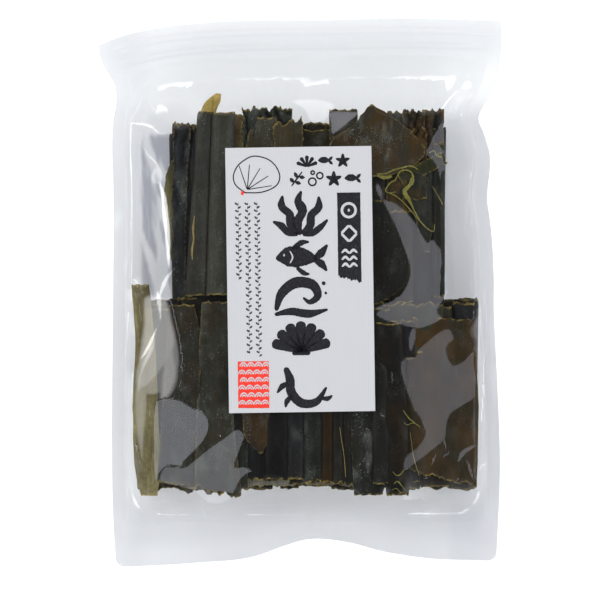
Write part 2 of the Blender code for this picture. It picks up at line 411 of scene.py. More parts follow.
def add_node(tree: Tree, kind: str, inputs: dict, output: int | str = 0,
             **settings) -> Socket | None:
    """Adds one node, with its settings, its socket values and its links.

    Args:
        tree: Node tree to add to.
        kind: Blender's name for the node.
        inputs: For each input, by name or number, a value or the output socket that feeds it.
        output: The output wanted, by name or number.
        **settings: Properties of the node itself.

    Returns:
        The wanted output, or None from a node without any.
    """
    node = tree.nodes.new(kind)
    for name, value in settings.items():
        setattr(node, name, value)
    for socket, value in inputs.items():
        if isinstance(value, Socket):
            tree.links.new(value, node.inputs[socket])
        else:
            node.inputs[socket].default_value = value
    return node.outputs[output] if node.outputs else None


def new_tree(name: str) -> tuple[Material, Tree]:
    """An empty node material and its node tree."""
    material = bpy.data.materials.new(name)
    material.use_nodes = True
    material.node_tree.nodes.clear()
    return material, material.node_tree


@dataclass(frozen=True)
class ClearFilm:
    """Laminated nylon and polythene film, blown and then welded: clear, hard and very glossy, with no haze
    over dark contents. Two faces of IOR 1.5 send back about 8% straight on and far more at a slant.
    """

    name: str = "clear_film"
    straight_reflection: float = 0.08
    roughness: float = 0.03
    tint: str = "#f7f8f9"
    # Grey that the film is tinted towards, which also serves as painted shade and painted shadow.
    grey_and_shade_tint: str = "#c6c8cf"
    haze_colour: str = "#f4f5f7"
    weld_haze: float = 0.05

    def build(self) -> Material:
        """Mixes a clear pass-through with gloss by Schlick's rule, R0 + (1 - R0)(1 - cos)^5, which is alike
        on both sides of a single sheet. The weld attribute adds a little white haze, the
        grey_and_painted_shade attribute greys the film, partly as its tint and partly as painted shade and
        painted shadow, and the lean attribute turns the normal by creases too fine for the mesh.

        Returns:
            The material.
        """
        material, tree = new_tree(self.name)
        facing = add_node(tree, "ShaderNodeLayerWeight", {"Blend": 0.5}, "Facing")
        fifth = add_node(tree, "ShaderNodeMath", {0: facing, 1: 5.0}, operation="POWER")
        schlick = add_node(tree, "ShaderNodeMath", {0: fifth, 1: 1.0 - self.straight_reflection,
                                                    2: self.straight_reflection}, operation="MULTIPLY_ADD")
        # The grey tint is partly painted shade: the kelp's shadow at the right side and foot, fold shade on
        # the crumpled side and shade on the zip's flanks.
        weld, grey_and_painted_shade = (add_node(tree, "ShaderNodeAttribute", {}, "Fac", attribute_name=name)
                      for name in ("weld", "grey_and_painted_shade"))
        tint = add_node(tree, "ShaderNodeMix", {"Factor": grey_and_painted_shade, 6: linear(self.tint),
                                                7: linear(self.grey_and_shade_tint)}, 2, data_type="RGBA")
        clear = add_node(tree, "ShaderNodeBsdfTransparent", {"Color": tint})
        white = add_node(tree, "ShaderNodeBsdfDiffuse", {"Color": linear(self.haze_colour)})
        haze = add_node(tree, "ShaderNodeMath", {0: weld, 1: self.weld_haze}, operation="MULTIPLY")
        body = add_node(tree, "ShaderNodeMixShader", {0: haze, 1: clear, 2: white})
        gloss = add_node(tree, "ShaderNodeBsdfGlossy", {"Color": (1, 1, 1, 1), "Roughness": self.roughness,
                                                        "Normal": self.creased_normal(tree)})
        both = add_node(tree, "ShaderNodeMixShader", {0: schlick, 1: body, 2: gloss})
        add_node(tree, "ShaderNodeOutputMaterial", {"Surface": both})
        return material

    def creased_normal(self, tree: Tree) -> Socket:
        """The surface's normal plus the lean attribute, turned round on the far side of the sheet.

        Args:
            tree: Node tree to add to.

        Returns:
            The unit normal.
        """
        lean = add_node(tree, "ShaderNodeAttribute", {}, "Vector", attribute_name="lean")
        turned = add_node(tree, "ShaderNodeVectorTransform", {0: lean}, vector_type="VECTOR",
                          convert_from="OBJECT", convert_to="WORLD")
        normal, far_side = (add_node(tree, "ShaderNodeNewGeometry", {}, name)
                            for name in ("Normal", "Backfacing"))
        side = add_node(tree, "ShaderNodeMath", {0: far_side, 1: -2.0, 2: 1.0}, operation="MULTIPLY_ADD")
        sided = add_node(tree, "ShaderNodeVectorMath", {0: turned, "Scale": side}, operation="SCALE")
        both = add_node(tree, "ShaderNodeVectorMath", {0: normal, 1: sided}, operation="ADD")
        return add_node(tree, "ShaderNodeVectorMath", {0: both}, operation="NORMALIZE")


@dataclass(frozen=True)
class DriedKelpSkin:
    """Sun-dried kelp blade: a leathery olive to slate skin with a faint wax, rusty where the sun caught it,
    finely creased along the blade, tan where it was cut, and dusted with white bloom from its own sugars.
    """

    name: str = "dried_kelp_skin"
    roughness: float = 0.48
    specular: float = 0.13
    crease_pitch: float = 1.1
    mottle_size: float = 11.0
    spot_size: float = 1.5
    cut_colour: str = "#8f7d41"
    rust_colour: str = "#3f2c0b"
    bloom_colour: str = "#70736c"
    speck_colour: str = "#a5a79f"
    relief: float = 0.22

    def noise(self, tree: Tree, place: Socket, size: tuple[float, float],
              low: float, high: float) -> Socket:
        """Noise of a size across and along the blade, with its middle third stretched from low to high.

        Args:
            tree: Node tree to add to.
            place: Place on the blade in millimetres.
            size: Grain of the noise across and along the blade, in millimetres.
            low: Number for the noise's lows.
            high: Number for its highs.

        Returns:
            The stretched noise.
        """
        scaled = add_node(tree, "ShaderNodeMapping", {"Vector": place,
                                                      "Scale": (1 / size[0], 1 / size[1], 1.0)})
        raw = add_node(tree, "ShaderNodeTexNoise", {"Vector": scaled, "Scale": 1.0, "Detail": 4.0,
                                                    "Roughness": 0.6}, "Fac")
        return add_node(tree, "ShaderNodeMapRange", {"Value": raw, "From Min": 0.32, "From Max": 0.68,
                                                     "To Min": low, "To Max": high})

    def build(self) -> Material:
        """Skin colour from the skin attribute, times creases along the grain attribute, a broad mottle and
        small spots. Rust follows its own attribute and a broad noise, the cut edge is tan, and bloom is
        white.

        Returns:
            The material.
        """
        material, tree = new_tree(self.name)
        skin, cut, bloom, rust, grain = (
            add_node(tree, "ShaderNodeAttribute", {}, kind, attribute_name=name)
            for name, kind in (("skin", "Color"), ("cut", "Fac"), ("bloom", "Fac"), ("rust", "Fac"),
                               ("grain", "Vector")))
        creases = self.noise(tree, grain, (self.crease_pitch, 20.0), 0.8, 1.2)
        mottle = self.noise(tree, grain, (self.mottle_size, 2.4 * self.mottle_size), 0.68, 1.3)
        spots = self.noise(tree, grain, (self.spot_size, 1.3 * self.spot_size), 0.82, 1.18)
        tone = creases
        for more in (mottle, spots):
            tone = add_node(tree, "ShaderNodeMath", {0: tone, 1: more}, operation="MULTIPLY")
        toned = add_node(tree, "ShaderNodeVectorMath", {0: skin, "Scale": tone}, operation="SCALE")
        for strength, size, low, high, colour in (
                (rust, (9.0, 16.0), -0.5, 1.5, self.rust_colour),
                (bloom, (5.0, 13.0), -0.5, 0.75, self.bloom_colour),
                (bloom, (0.7, 0.9), -6.5, 1.3, self.speck_colour),
                (cut, (2.4, 1.6), -0.5, 1.4, self.cut_colour)):
            pattern = self.noise(tree, grain, size, low, high)
            share = add_node(tree, "ShaderNodeMath", {0: strength, 1: pattern}, operation="MULTIPLY",
                             use_clamp=True)
            toned = add_node(tree, "ShaderNodeMix", {"Factor": share, 6: toned, 7: linear(colour)}, 2,
                             data_type="RGBA")
        relief = add_node(tree, "ShaderNodeMath", {0: creases, 1: spots}, operation="ADD")
        bump = add_node(tree, "ShaderNodeBump", {"Strength": 0.55, "Distance": self.relief * MM,
                                                 "Height": relief})
        shader = add_node(tree, "ShaderNodeBsdfPrincipled", {
            "Base Color": toned, "Roughness": self.roughness, "IOR": 1.45,
            "Specular IOR Level": self.specular, "Normal": bump})
        add_node(tree, "ShaderNodeOutputMaterial", {"Surface": shader})
        return material


@dataclass(frozen=True)
class LaidPaper:
    """Uncoated laid paper, machine made: matt, cool white, with laid lines down its length and a few long
    fibres. Blender's band texture repeats 3.183 times in each unit of its scale's inverse.
    """

    name: str = "laid_paper"
    colour: str = "#bcbdc1"
    line_shade: str = "#b2b4ba"
    line_pitch: float = 1.15
    roughness: float = 0.9

    def build(self) -> Material:
        """Fine bands across X at the laid pitch, broken up by long noise, tint the paper and dent it.

        Returns:
            The material.
        """
        material, tree = new_tree(self.name)
        place = add_node(tree, "ShaderNodeTexCoord", {}, "Object")
        in_mm, stretched = (add_node(tree, "ShaderNodeMapping", {"Vector": place, "Scale": scale})
                            for scale in ((1000.0, 1000.0, 1000.0), (1400.0, 60.0, 60.0)))
        fibres = add_node(tree, "ShaderNodeTexNoise", {"Vector": stretched, "Scale": 1.0, "Detail": 4.0,
                                                       "Roughness": 0.65}, "Fac")
        lines = add_node(tree, "ShaderNodeTexWave", {
            "Vector": in_mm, "Scale": 1 / (self.line_pitch * 3.183), "Distortion": 0.6, "Detail": 2.0,
            "Detail Scale": 0.4}, "Fac", wave_type="BANDS", bands_direction="X")
        both = add_node(tree, "ShaderNodeMath", {0: lines, 1: fibres}, operation="MULTIPLY")
        colour = add_node(tree, "ShaderNodeMix", {"Factor": both, 6: linear(self.colour),
                                                  7: linear(self.line_shade)}, 2, data_type="RGBA")
        bump = add_node(tree, "ShaderNodeBump", {"Strength": 0.25, "Distance": 0.06 * MM, "Height": both})
        shader = add_node(tree, "ShaderNodeBsdfPrincipled", {
            "Base Color": colour, "Roughness": self.roughness, "IOR": 1.5, "Specular IOR Level": 0.25,
            "Normal": bump})
        add_node(tree, "ShaderNodeOutputMaterial", {"Surface": shader})
        return material


@dataclass(frozen=True)
class PrintInk:
    """Offset ink on uncoated paper: soaked in, so matt, with the paper's fibres showing as a light mottle."""

    name: str
    colour: str
    fibre_colour: str = "#c8c8cc"
    roughness: float = 0.75

    def build(self) -> Material:
        """The ink's colour, lifted a little by fibre noise.

        Returns:
            The material.
        """
        material, tree = new_tree(self.name)
        place = add_node(tree, "ShaderNodeTexCoord", {}, "Object")
        stretched = add_node(tree, "ShaderNodeMapping", {"Vector": place, "Scale": (1600.0, 500.0, 500.0)})
        fibres = add_node(tree, "ShaderNodeTexNoise", {"Vector": stretched, "Scale": 1.0, "Detail": 3.0,
                                                       "Roughness": 0.6}, "Fac")
        lift = add_node(tree, "ShaderNodeMapRange", {"Value": fibres, "From Min": 0.5, "From Max": 0.8,
                                                     "To Min": 0.0, "To Max": 0.05})
        colour = add_node(tree, "ShaderNodeMix", {"Factor": lift, 6: linear(self.colour),
                                                  7: linear(self.fibre_colour)}, 2, data_type="RGBA")
        shader = add_node(tree, "ShaderNodeBsdfPrincipled", {
            "Base Color": colour, "Roughness": self.roughness, "IOR": 1.5, "Specular IOR Level": 0.12})
        add_node(tree, "ShaderNodeOutputMaterial", {"Surface": shader})
        return material


# The pouch's form

@dataclass(frozen=True)
class PouchForm:
    """Rim, welds and fill of the pouch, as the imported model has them, in millimetres.

    Attributes:
        left, right: (y, x) stations down the sides.
        bottom, top: (x, y) stations along the ends.
    """

    left: Stations = field(default_factory=lambda: [
        (-137, -91.8), (-117, -93.0), (-73, -93.8), (-20, -93.4), (46, -93.0), (84, -93.3),
        (98, -91.6), (103, -92.2), (112, -97.4), (117, -99.6), (123.6, -100.7)])
    right: Stations = field(default_factory=lambda: [
        (-134, 98.0), (-85, 99.7), (-42, 98.2), (-7, 96.6), (9, 96.6), (36, 94.7), (45, 93.4),
        (70, 94.4), (79, 91.8), (87, 89.0), (94, 92.0), (101, 96.6), (110, 98.7), (124, 100.7),
        (135.8, 100.4)])
    bottom: Stations = field(default_factory=lambda: [
        (-91.8, -137.0), (-53, -134.8), (-21, -131.0), (-8, -126.2), (2, -123.2), (24, -124.4),
        (41, -128.9), (58, -131.8), (98.0, -134.0)])
    top: Stations = field(default_factory=lambda: [
        (-100.7, 123.6), (-91, 127.4), (-72, 132.0), (-47, 134.8), (15, 136.2), (48, 137.0),
        (100.4, 135.8)])
    corner_radius: float = 4.5
    side_weld: float = 7.0
    bottom_weld_y: float = -114.0
    header: float = 18.5
    weld_height: float = 12.5

    def patch(self, u: Array, v: Array) -> tuple[Array, Array]:
        """Place of shares u across and v up: the sum of the blends between the sides and between the ends,
        less the blend of the four corners.

        Args:
            u: Share across, 0 at the left.
            v: Share up, 0 at the bottom.

        Returns:
            X and Y.
        """
        ly, ry = along(self.left, v), along(self.right, v)
        bx, tx = along(self.bottom, u), along(self.top, u)
        x = ((1 - u) * smooth_through(self.left, ly) + u * smooth_through(self.right, ry)
             + (1 - v) * bx + v * tx)
        y = ((1 - u) * ly + u * ry
             + (1 - v) * smooth_through(self.bottom, bx) + v * smooth_through(self.top, tx))
        corners = [side[end] for end in (0, -1) for side in (self.left, self.right)]
        parts = [(1 - u) * (1 - v), u * (1 - v), (1 - u) * v, u * v]
        return (x - sum(part * corner[1] for part, corner in zip(parts, corners)),
                y - sum(part * corner[0] for part, corner in zip(parts, corners)))

    def from_edges(self, u: Array, v: Array, x: Array, y: Array) -> tuple[Array, Array, Array]:
        """How far points stand in from the left, the right and the top edge, straight across or down."""
        left, right = (self.patch(0 * u + side, v)[0] for side in (0, 1))
        return x - left, right - x, self.patch(u, 0 * v + 1)[1] - y

    def round_corners(self, x: Array, y: Array) -> tuple[Array, Array]:
        """Moves the square bottom corners in onto a circle: each point keeps its direction from the circle's
        centre, and its square distance becomes its round one.

        Args:
            x, y: The points.

        Returns:
            The moved X and Y.
        """
        for (corner_x, corner_y), side in ((self.bottom[0], 1), (self.bottom[-1], -1)):
            centre_x, centre_y = corner_x + side * self.corner_radius, corner_y + self.corner_radius
            dx, dy = x - centre_x, y - centre_y
            inside = (side * dx < 0) & (dy < 0)
            square_reach = np.maximum(np.abs(dx), np.abs(dy))
            reach = np.where(inside, square_reach / np.maximum(np.hypot(dx, dy), TINY), 1.0)
            x, y = centre_x + dx * reach, centre_y + dy * reach
        return x, y

    def weld_sheet(self, x: Array, y: Array) -> Array:
        """Height of the middle of the welds: level at mid-depth, drooping to the four edges, with one buckle
        where the bottom edge is drawn up.

        Args:
            x, y: The points.

        Returns:
            Heights.
        """
        droop = (7.0 * smooth_step(y, 92.0, 140.0) + 5.0 * smooth_step(-y, 98.0, 136.0)
                 + 3.0 * smooth_step(np.abs(x), 80.0, 100.0))
        buckle = np.exp(-((x - 10.0) / 30.0) ** 2) * smooth_step(-y, 112.0, 128.0)
        return self.weld_height - droop + 4.0 * buckle


def crown(x: Array, y: Array) -> Array:
    """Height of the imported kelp's outermost pieces: 31 - 6 ((x/88)^2 + (y/88)^4 / 4)."""
    return 31.0 - 6.0 * ((x / 88.0) ** 2 + 0.25 * (y / 88.0) ** 4)


def bed(x: Array, y: Array) -> Array:
    """Height of the inner kelp under the outer pieces: the crown less one fold, and lower at the sides."""
    return crown(x, y) - 6.2 - 3.0 * smooth_step(np.abs(x), 62.0, 90.0)


# Kelp

class Fold(Enum):
    """How a cut of kelp is folded."""

    FLAT = "flat"
    ROLLED = "rolled"


@dataclass(frozen=True)
class KelpCut:
    """One cut of dried kelp, lying along the pouch.

    Attributes:
        left, right: (y, x) stations of its two sides.
        skin: Its colour.
        lift: Height of its underside over the inner kelp.
        fold: Flat blade or flattened roll.
        level: Share of the inner kelp's height that it lies at.
        roll: Height of a roll.
        thick: Thickness of the blade.
        wave, wave_size: Height and length of its unevenness.
        frill: Height of the ruffles at its upper end.
        bloom: Strength of its white dusting, 0 to 1.
        jag: Depth of the teeth at its bottom and top ends.
        side_jag: Depth of the teeth down its sides.
        side_cut: Strength of the tan line down its sides, 0 to 1.
        rust: Strength of its rusty patches, 0 to 1.
        tilt: Rise of its right side over its left.
        turn: Anticlockwise turn in degrees about the middle of its stations.
        step: Spacing of its points.
    """

    left: Stations
    right: Stations
    skin: str
    lift: float = 0.0
    fold: Fold = Fold.FLAT
    level: float = 1.0
    roll: float = 5.2
    thick: float = 1.3
    wave: float = 0.5
    wave_size: float = 28.0
    frill: float = 0.0
    bloom: float = 0.12
    jag: tuple[float, float] = (0.8, 0.8)
    side_jag: float = 0.15
    side_cut: float = 0.25
    rust: float = 0.05
    tilt: float = 0.0
    turn: float = 0.0
    step: float = 1.3

    def lay(self, batch: MeshBatch, seed: int) -> list[Array]:
        """Adds the cut to a batch as a closed shell.

        Args:
            batch: Batch to add to.
            seed: Seed of its unevenness.

        Returns:
            Its outer and inner sheets of points.
        """
        length = max(self.left[-1][0] - self.left[0][0], self.right[-1][0] - self.right[0][0])
        width = max(right[1] - left[1] for left, right in zip(self.left, self.right))
        girth = width if self.fold is Fold.FLAT else 2.3 * (width + self.roll)
        rows, columns = max(int(length / self.step) + 2, 8), max(int(girth / (0.5 * self.step)) + 2, 8)
        even = np.linspace(0, 1, rows)
        closer_at_ends = even - 0.7 * np.sin(2 * math.pi * even) / (2 * math.pi)
        u, v = np.meshgrid(np.linspace(0, 1, columns), closer_at_ends)
        middle = self._flat(u, v, seed) if self.fold is Fold.FLAT else self._rolled(u, v, seed)
        middle = self._turned(middle)
        from_end = np.minimum(v, 1 - v) * length
        from_side = np.minimum(u, 1 - u) * girth
        rim = np.minimum(from_end, from_side)
        thickness = self.thick * (0.55 + 0.45 * smooth_step(rim, 0.0, 2.0))
        offset = sheet_normals(middle) * thickness[..., None] / 2
        upper, lower = middle + offset, middle - offset
        cut = np.maximum(1 - smooth_step(from_end, 0.1, 1.1),
                         0.6 * self.side_cut * (1 - smooth_step(from_side, 0.1, 0.9)))
        dust = self.bloom * np.clip(0.6 + ripple(middle[..., 0], middle[..., 1], 22.0, seed + 5), 0.0, 1.6)
        skin = np.broadcast_to(np.array(linear(self.skin)), (*u.shape, 4))
        across = middle[..., 0] if self.fold is Fold.FLAT else u * girth
        grain = placed(across, v * length, np.full_like(u, seed * 13.7))
        batch.add_slab(upper, lower, {"skin": skin, "cut": cut, "bloom": dust, "grain": grain,
                                      "rust": np.full_like(u, self.rust)})
        return [upper, lower]

    def _plan(self, u: Array, v: Array, seed: int) -> tuple[Array, Array, Array]:
        """Left side, right side and torn Y of the blade: each side read at share v of its own stations, with
        teeth that fade away from the two ends."""
        ly, ry = along(self.left, v), along(self.right, v)
        torn = [0.55 * ragged(u, seed + end) + 0.5 * ripple(60 * u, 0 * u, 22.0, seed + end)
                for end in (1, 2)]
        y = (1 - u) * ly + u * ry
        y = y + self.jag[1] * torn[0] * v ** 8 + self.jag[0] * torn[1] * (1 - v) ** 8
        return smooth_through(self.left, ly), smooth_through(self.right, ry), y

    def _flat(self, u: Array, v: Array, seed: int) -> Array:
        """Middle sheet of a flat blade: straight across between its sides, at the inner kelp's height plus
        waves, ruffles that grow towards its upper end, and a tilt from side to side."""
        lx, rx, y = self._plan(u, v, seed)
        x = lx + (rx - lx) * u
        x = x + self.side_jag * (ragged(v, seed + 3) * u ** 8 - ragged(v, seed + 4) * (1 - u) ** 8)
        ruffle = self.frill * np.sin(2 * math.pi * (u * (rx - lx).mean() / 4.5 + 0.3 * seed)
                                     + 2.0 * ripple(x, y, 14.0, seed + 6)) * smooth_step(v, 0.55, 1.0)
        z = (self.level * bed(x, y) + self.lift + self.thick / 2 + self.tilt * (u - 0.5)
             + self.wave * ripple(x, y, self.wave_size, seed) + ruffle)
        return placed(x, y, z)

    def _rolled(self, u: Array, v: Array, seed: int) -> Array:
        """Middle sheet of a flattened roll: a superellipse of exponent 2.5 that starts tucked under, runs
        over the top from left to right, and ends under its own start. Inner rolls shrink with the bed."""
        lx, rx, y = self._plan(u, v, seed)
        centre, half = (lx + rx) / 2, (rx - lx) / 2
        angle = np.radians(300.0) - u * np.radians(425.0)
        tuck = 1 - 0.30 * (1 - smooth_step(u, 0.0, 0.22))
        across, up = np.cos(angle), np.sin(angle)
        x = centre + half * tuck * np.sign(across) * np.abs(across) ** 0.8
        roll = self.roll * (1.0 if self.level == 1.0 else bed(centre, y) / BED_MIDDLE)
        rise = roll / 2 * tuck * np.sign(up) * np.abs(up) ** 0.8
        dents = self.wave * ripple(x, y, self.wave_size, seed) * smooth_step(up, -0.2, 0.6)
        z = self.level * bed(centre, y) + self.lift + roll / 2 + rise + dents + self.tilt * (u - 0.5)
        return placed(x, y, z)

    def _turned(self, grid: Array) -> Array:
        """The grid turned about the middle of the cut's stations."""
        if self.turn == 0.0:
            return grid
        ends = np.array(self.left + self.right, float)
        mid_y, mid_x = (ends.min(0) + ends.max(0)) / 2
        cos, sin = math.cos(math.radians(self.turn)), math.sin(math.radians(self.turn))
        dx, dy = grid[..., 0] - mid_x, grid[..., 1] - mid_y
        return placed(mid_x + dx * cos - dy * sin, mid_y + dx * sin + dy * cos, grid[..., 2])


def strip(x: tuple[float, float], y: tuple[float, float], skin: str, lean: float = 0.0, **more) -> KelpCut:
    """A cut with straight sides.

    Args:
        x: Its left and right side at its lower end.
        y: Its lower and upper end.
        skin: Its colour.
        lean: How far its upper end stands to the right of its lower end.
        **more: Other fields of KelpCut.

    Returns:
        The cut.
    """
    left, right = ([(y[0], side), (y[1], side + lean)] for side in x)
    return KelpCut(left, right, skin, **more)


# Pale edges of the kelp by colour: widths along each and its path
PALE_EDGES = {
    "#7f7b40": [
        ((0.8, 1.1, 0.9, 0.6), [(37.8, 58.9), (42.6, 59.2), (46.8, 61.0), (51.0, 62.1), (54.5, 62.9),
         (57.3, 62.1), (58.4, 61.0)]),
        ((0.7, 0.9, 1.0, 1.6, 1.2), [(48.2, 57.8), (49.7, 60.1), (52.4, 60.9), (55.2, 59.9), (56.2, 57.1),
         (55.7, 54.1), (53.2, 52.8)]),
        ((0.7, 1.2, 1.0, 0.8, 0.7), [(48.2, 57.8), (47.2, 55.8), (44.9, 54.6), (42.6, 51.2), (43.9, 49.6),
         (47.9, 50.1)]),
        ((1.0, 2.2, 3.0, 2.2, 0.8), [(55.4, 57.3), (54.4, 53.3), (51.9, 50.3), (53.9, 46.8), (56.4, 41.8)]),
        ((1.4, 2.6, 1.4), [(38.2, 58.3), (41.9, 57.1), (45.9, 57.8)]),
        ((0.6, 0.7, 0.6, 0.5), [(42.4, 50.3), (47.9, 47.8), (52.9, 43.3), (58.4, 36.8), (62.4, 32.3)]),
        ((0.7, 0.8, 0.6, 0.5), [(51.9, 48.3), (55.4, 43.3), (59.4, 36.1), (63.4, 31.8), (66.4, 30.6),
         (66.9, 34.3)]),
        ((0.5, 0.6, 0.4), [(65.8, 52.9), (67.9, 49.3), (70.4, 44.8), (71.2, 43.1)]),
        ((0.6, 0.7, 0.8), [(63.9, 69.4), (66.8, 70.5), (67.8, 68.3), (71.0, 67.0)]),
        ((0.5, 0.9, 0.6), [(51.2, -58.2), (52.4, -60.2), (54.4, -62.7), (56.4, -64.2), (58.4, -66.2)]),
        ((0.4, 0.6, 0.4), [(51.4, -64.2), (53.4, -65.7), (55.9, -64.7), (58.4, -65.7), (59.9, -67.2)]),
        ((0.4, 0.7, 0.4), [(45.9, -88.7), (47.9, -90.7), (49.9, -90.2), (51.9, -87.7)]),
        ((0.4, 0.8, 0.4), [(46.4, -95.2), (48.4, -93.7), (50.4, -95.7), (52.4, -98.2)]),
        ((0.3, 0.6, 0.3), [(45.4, -98.2), (47.9, -97.2), (49.9, -99.2), (51.9, -99.2)]),
    ],
    "#857548": [
        ((0.4, 0.5, 0.4), [(54.7, -69.2), (55.4, -74.7), (56.7, -82.7), (59.4, -91.2)]),
        ((0.4, 0.5, 0.5, 0.4), [(19.7, -66.7), (20.4, -71.7), (21.4, -77.7), (22.2, -84.7), (22.7, -91.7)]),
        ((0.6, 1.5, 1.0, 1.4, 0.5), [(-52.3, 38.3), (-53.1, 32.3), (-52.8, 26.3), (-53.6, 21.3),
         (-53.4, 16.3)]),
    ],
}


@dataclass
class KelpBed:
    """The two rows of packed kelp: the pieces that show under the front film, and the inner ones that fill
    the pouch down to its back.
    """

    skin: Material
    row_gap_y: float = -4.0
    cell: float = 1.2
    low_corner: tuple[float, float] = (-110.0, -145.0)
    sheets: list[Array] = field(default_factory=list)
    seed: int = 100

    def build(self) -> list[Piece]:
        """Lays every group of kelp.

        Returns:
            The pieces.
        """
        groups = {
            "kelp_inner_upper": self.inner_row(-63.5, 71.0, (self.row_gap_y - 1.5, 83.0), 11),
            "kelp_inner_lower": self.inner_row(-81.0, 87.0, (-96.0, self.row_gap_y + 0.5), 12),
            "kelp_upper_left": self.upper_left(),
            "kelp_upper_middle": self.upper_middle(),
            "kelp_upper_right": self.upper_right(),
            "kelp_lower_left": self.lower_left(),
            "kelp_lower_middle": self.lower_middle(),
            "kelp_lower_right": self.lower_right(),
        }
        pieces = [self.lay_group(name, cuts) for name, cuts in groups.items()]
        return pieces + [self.pale_edges()]

    def lay_group(self, name: str, cuts: list[KelpCut]) -> Piece:
        """Joins cuts into one piece and keeps their sheets for the film to lie on.

        Args:
            name: Name of the piece.
            cuts: Its cuts.

        Returns:
            The piece.
        """
        batch = MeshBatch(name)
        for cut in cuts:
            self.seed += 7
            self.sheets += cut.lay(batch, self.seed)
        return self.finished(batch)

    def finished(self, batch: MeshBatch) -> Piece:
        """Builds a batch of kelp and hides the imported bag, which the kelp and the film stand for."""
        piece = batch.build(self.skin, 50.0)
        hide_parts("bag")
        return piece

    def top(self, x: Array, y: Array) -> Array:
        """Highest kelp under each point: every kelp point is dropped into a cell, each cell takes the highest
        of itself and its neighbours and is softened, and the points read their cells.

        Args:
            x, y: The points.

        Returns:
            Heights, and about 0 where there is no kelp.
        """
        low_x, low_y = self.low_corner
        points = np.concatenate([sheet.reshape(-1, 3) for sheet in self.sheets])
        column, row = ((points[:, i] - low) / self.cell for i, low in ((0, low_x), (1, low_y)))
        heights = np.zeros((int(-2 * low_y / self.cell), int(-2 * low_x / self.cell)))
        np.maximum.at(heights, (row.astype(int), column.astype(int)), points[:, 2])
        for axis in (0, 1):
            heights = np.max([np.roll(heights, shift, axis) for shift in (-1, 0, 1)], axis=0)
        heights = blurred(heights, 3)
        column, row = (x - low_x) / self.cell - 0.5, (y - low_y) / self.cell - 0.5
        i, j = row.astype(int), column.astype(int)
        s, t = row - i, column - j
        return ((1 - s) * ((1 - t) * heights[i, j] + t * heights[i, j + 1])
                + s * ((1 - t) * heights[i + 1, j] + t * heights[i + 1, j + 1]))

    def inner_row(self, low_x: float, high_x: float, y: tuple[float, float], seed: int) -> list[KelpCut]:
        """Four layers of rolls and blades laid side by side, of seeded widths and colours.

        Args:
            low_x: Left side of the row.
            high_x: Right side of the row.
            y: Its lower and upper end.
            seed: Seed of the draws.

        Returns:
            The cuts.
        """
        draw = np.random.default_rng(seed)
        skins = ["#141512", "#1a1b15", "#1e1d16", "#101214", "#211d12", "#171816"]
        cuts = [strip((low_x, high_x), y, "#171814", level=0.0, lift=0.9, thick=1.0, wave=0.15, step=3.4)]
        for level in (0.05, 0.29, 0.53, 0.77):
            x = low_x + draw.uniform(0, 3)
            while x < high_x - 6:
                width = min(draw.uniform(9, 19), high_x - x)
                ends = (y[0] + draw.uniform(-2.0, 2.0), y[1] + draw.uniform(-3.5, 1.0))
                fold = Fold.ROLLED if draw.uniform() < 0.75 else Fold.FLAT
                cuts.append(strip((x, x + width), ends, str(draw.choice(skins)), lean=draw.uniform(-2, 2),
                                  level=level, lift=0.8, fold=fold, roll=5.0, jag=(1.2, 1.2), step=3.4))
                x += width + draw.uniform(-1.0, 0.8)
        return cuts

    def upper_left(self) -> list[KelpCut]:
        """Slate frilled blades, two folded strips and the thin yellow tab beyond them."""
        rolled = {"fold": Fold.ROLLED, "wave": 0.3, "bloom": 0.18, "jag": (0.9, 0.6)}
        return [
            KelpCut([(16, -64.4), (34, -66.4), (52, -67.4), (60, -66.2), (66, -63.5)], [(16, -60), (66, -60)],
                "#575233", lift=-0.6, side_cut=0.4, thick=1.0, side_jag=0.4, jag=(0.6, 0.6)),
            strip((-60, -51.5), (-3, 82), "#0f1014", lift=0.4, frill=0.9, jag=(0.8, 1.6), bloom=0.1),
            KelpCut([(-3, -63), (40, -63.6), (83.5, -62.6)], [(-3, -57), (40, -56.4), (83, -54.5)], "#1a1c1e",
                lift=1.5, wave=1.1, wave_size=17, frill=1.4, jag=(0.8, 1.8), side_jag=0.5, bloom=0.3,
                side_cut=0.5),
            KelpCut([(-1.4, -56.6), (89.8, -50.4)], [(-1.4, -47.1), (89.8, -44.2)], "#30302a", roll=5.6,
                **rolled),
            KelpCut([(-1.4, -46.2), (89.4, -43.3)], [(-1.4, -33.6), (89.4, -32.6)], "#373730", roll=5.8,
                **rolled),
            strip((-34.0, -28.7), (50, 88.6), "#41371f", lift=2.2, wave=0.9, wave_size=12, side_jag=0.8,
                side_cut=1.0, jag=(1, 1.4), rust=0.4),
            KelpCut([(80, -48.4), (91, -49.0), (95, -47.0), (99, -42.4)], [(80, -42.4), (91, -41.4),
                (95, -39.7), (99, -39.2)], "#9a8548", lift=0.2, thick=0.9, wave=0.4, wave_size=12,
                jag=(0.3, 0.5), bloom=0.02, side_cut=0.1, rust=0.0),
            strip((-36, -20), (0, 76), "#0c0d0c"),
        ]

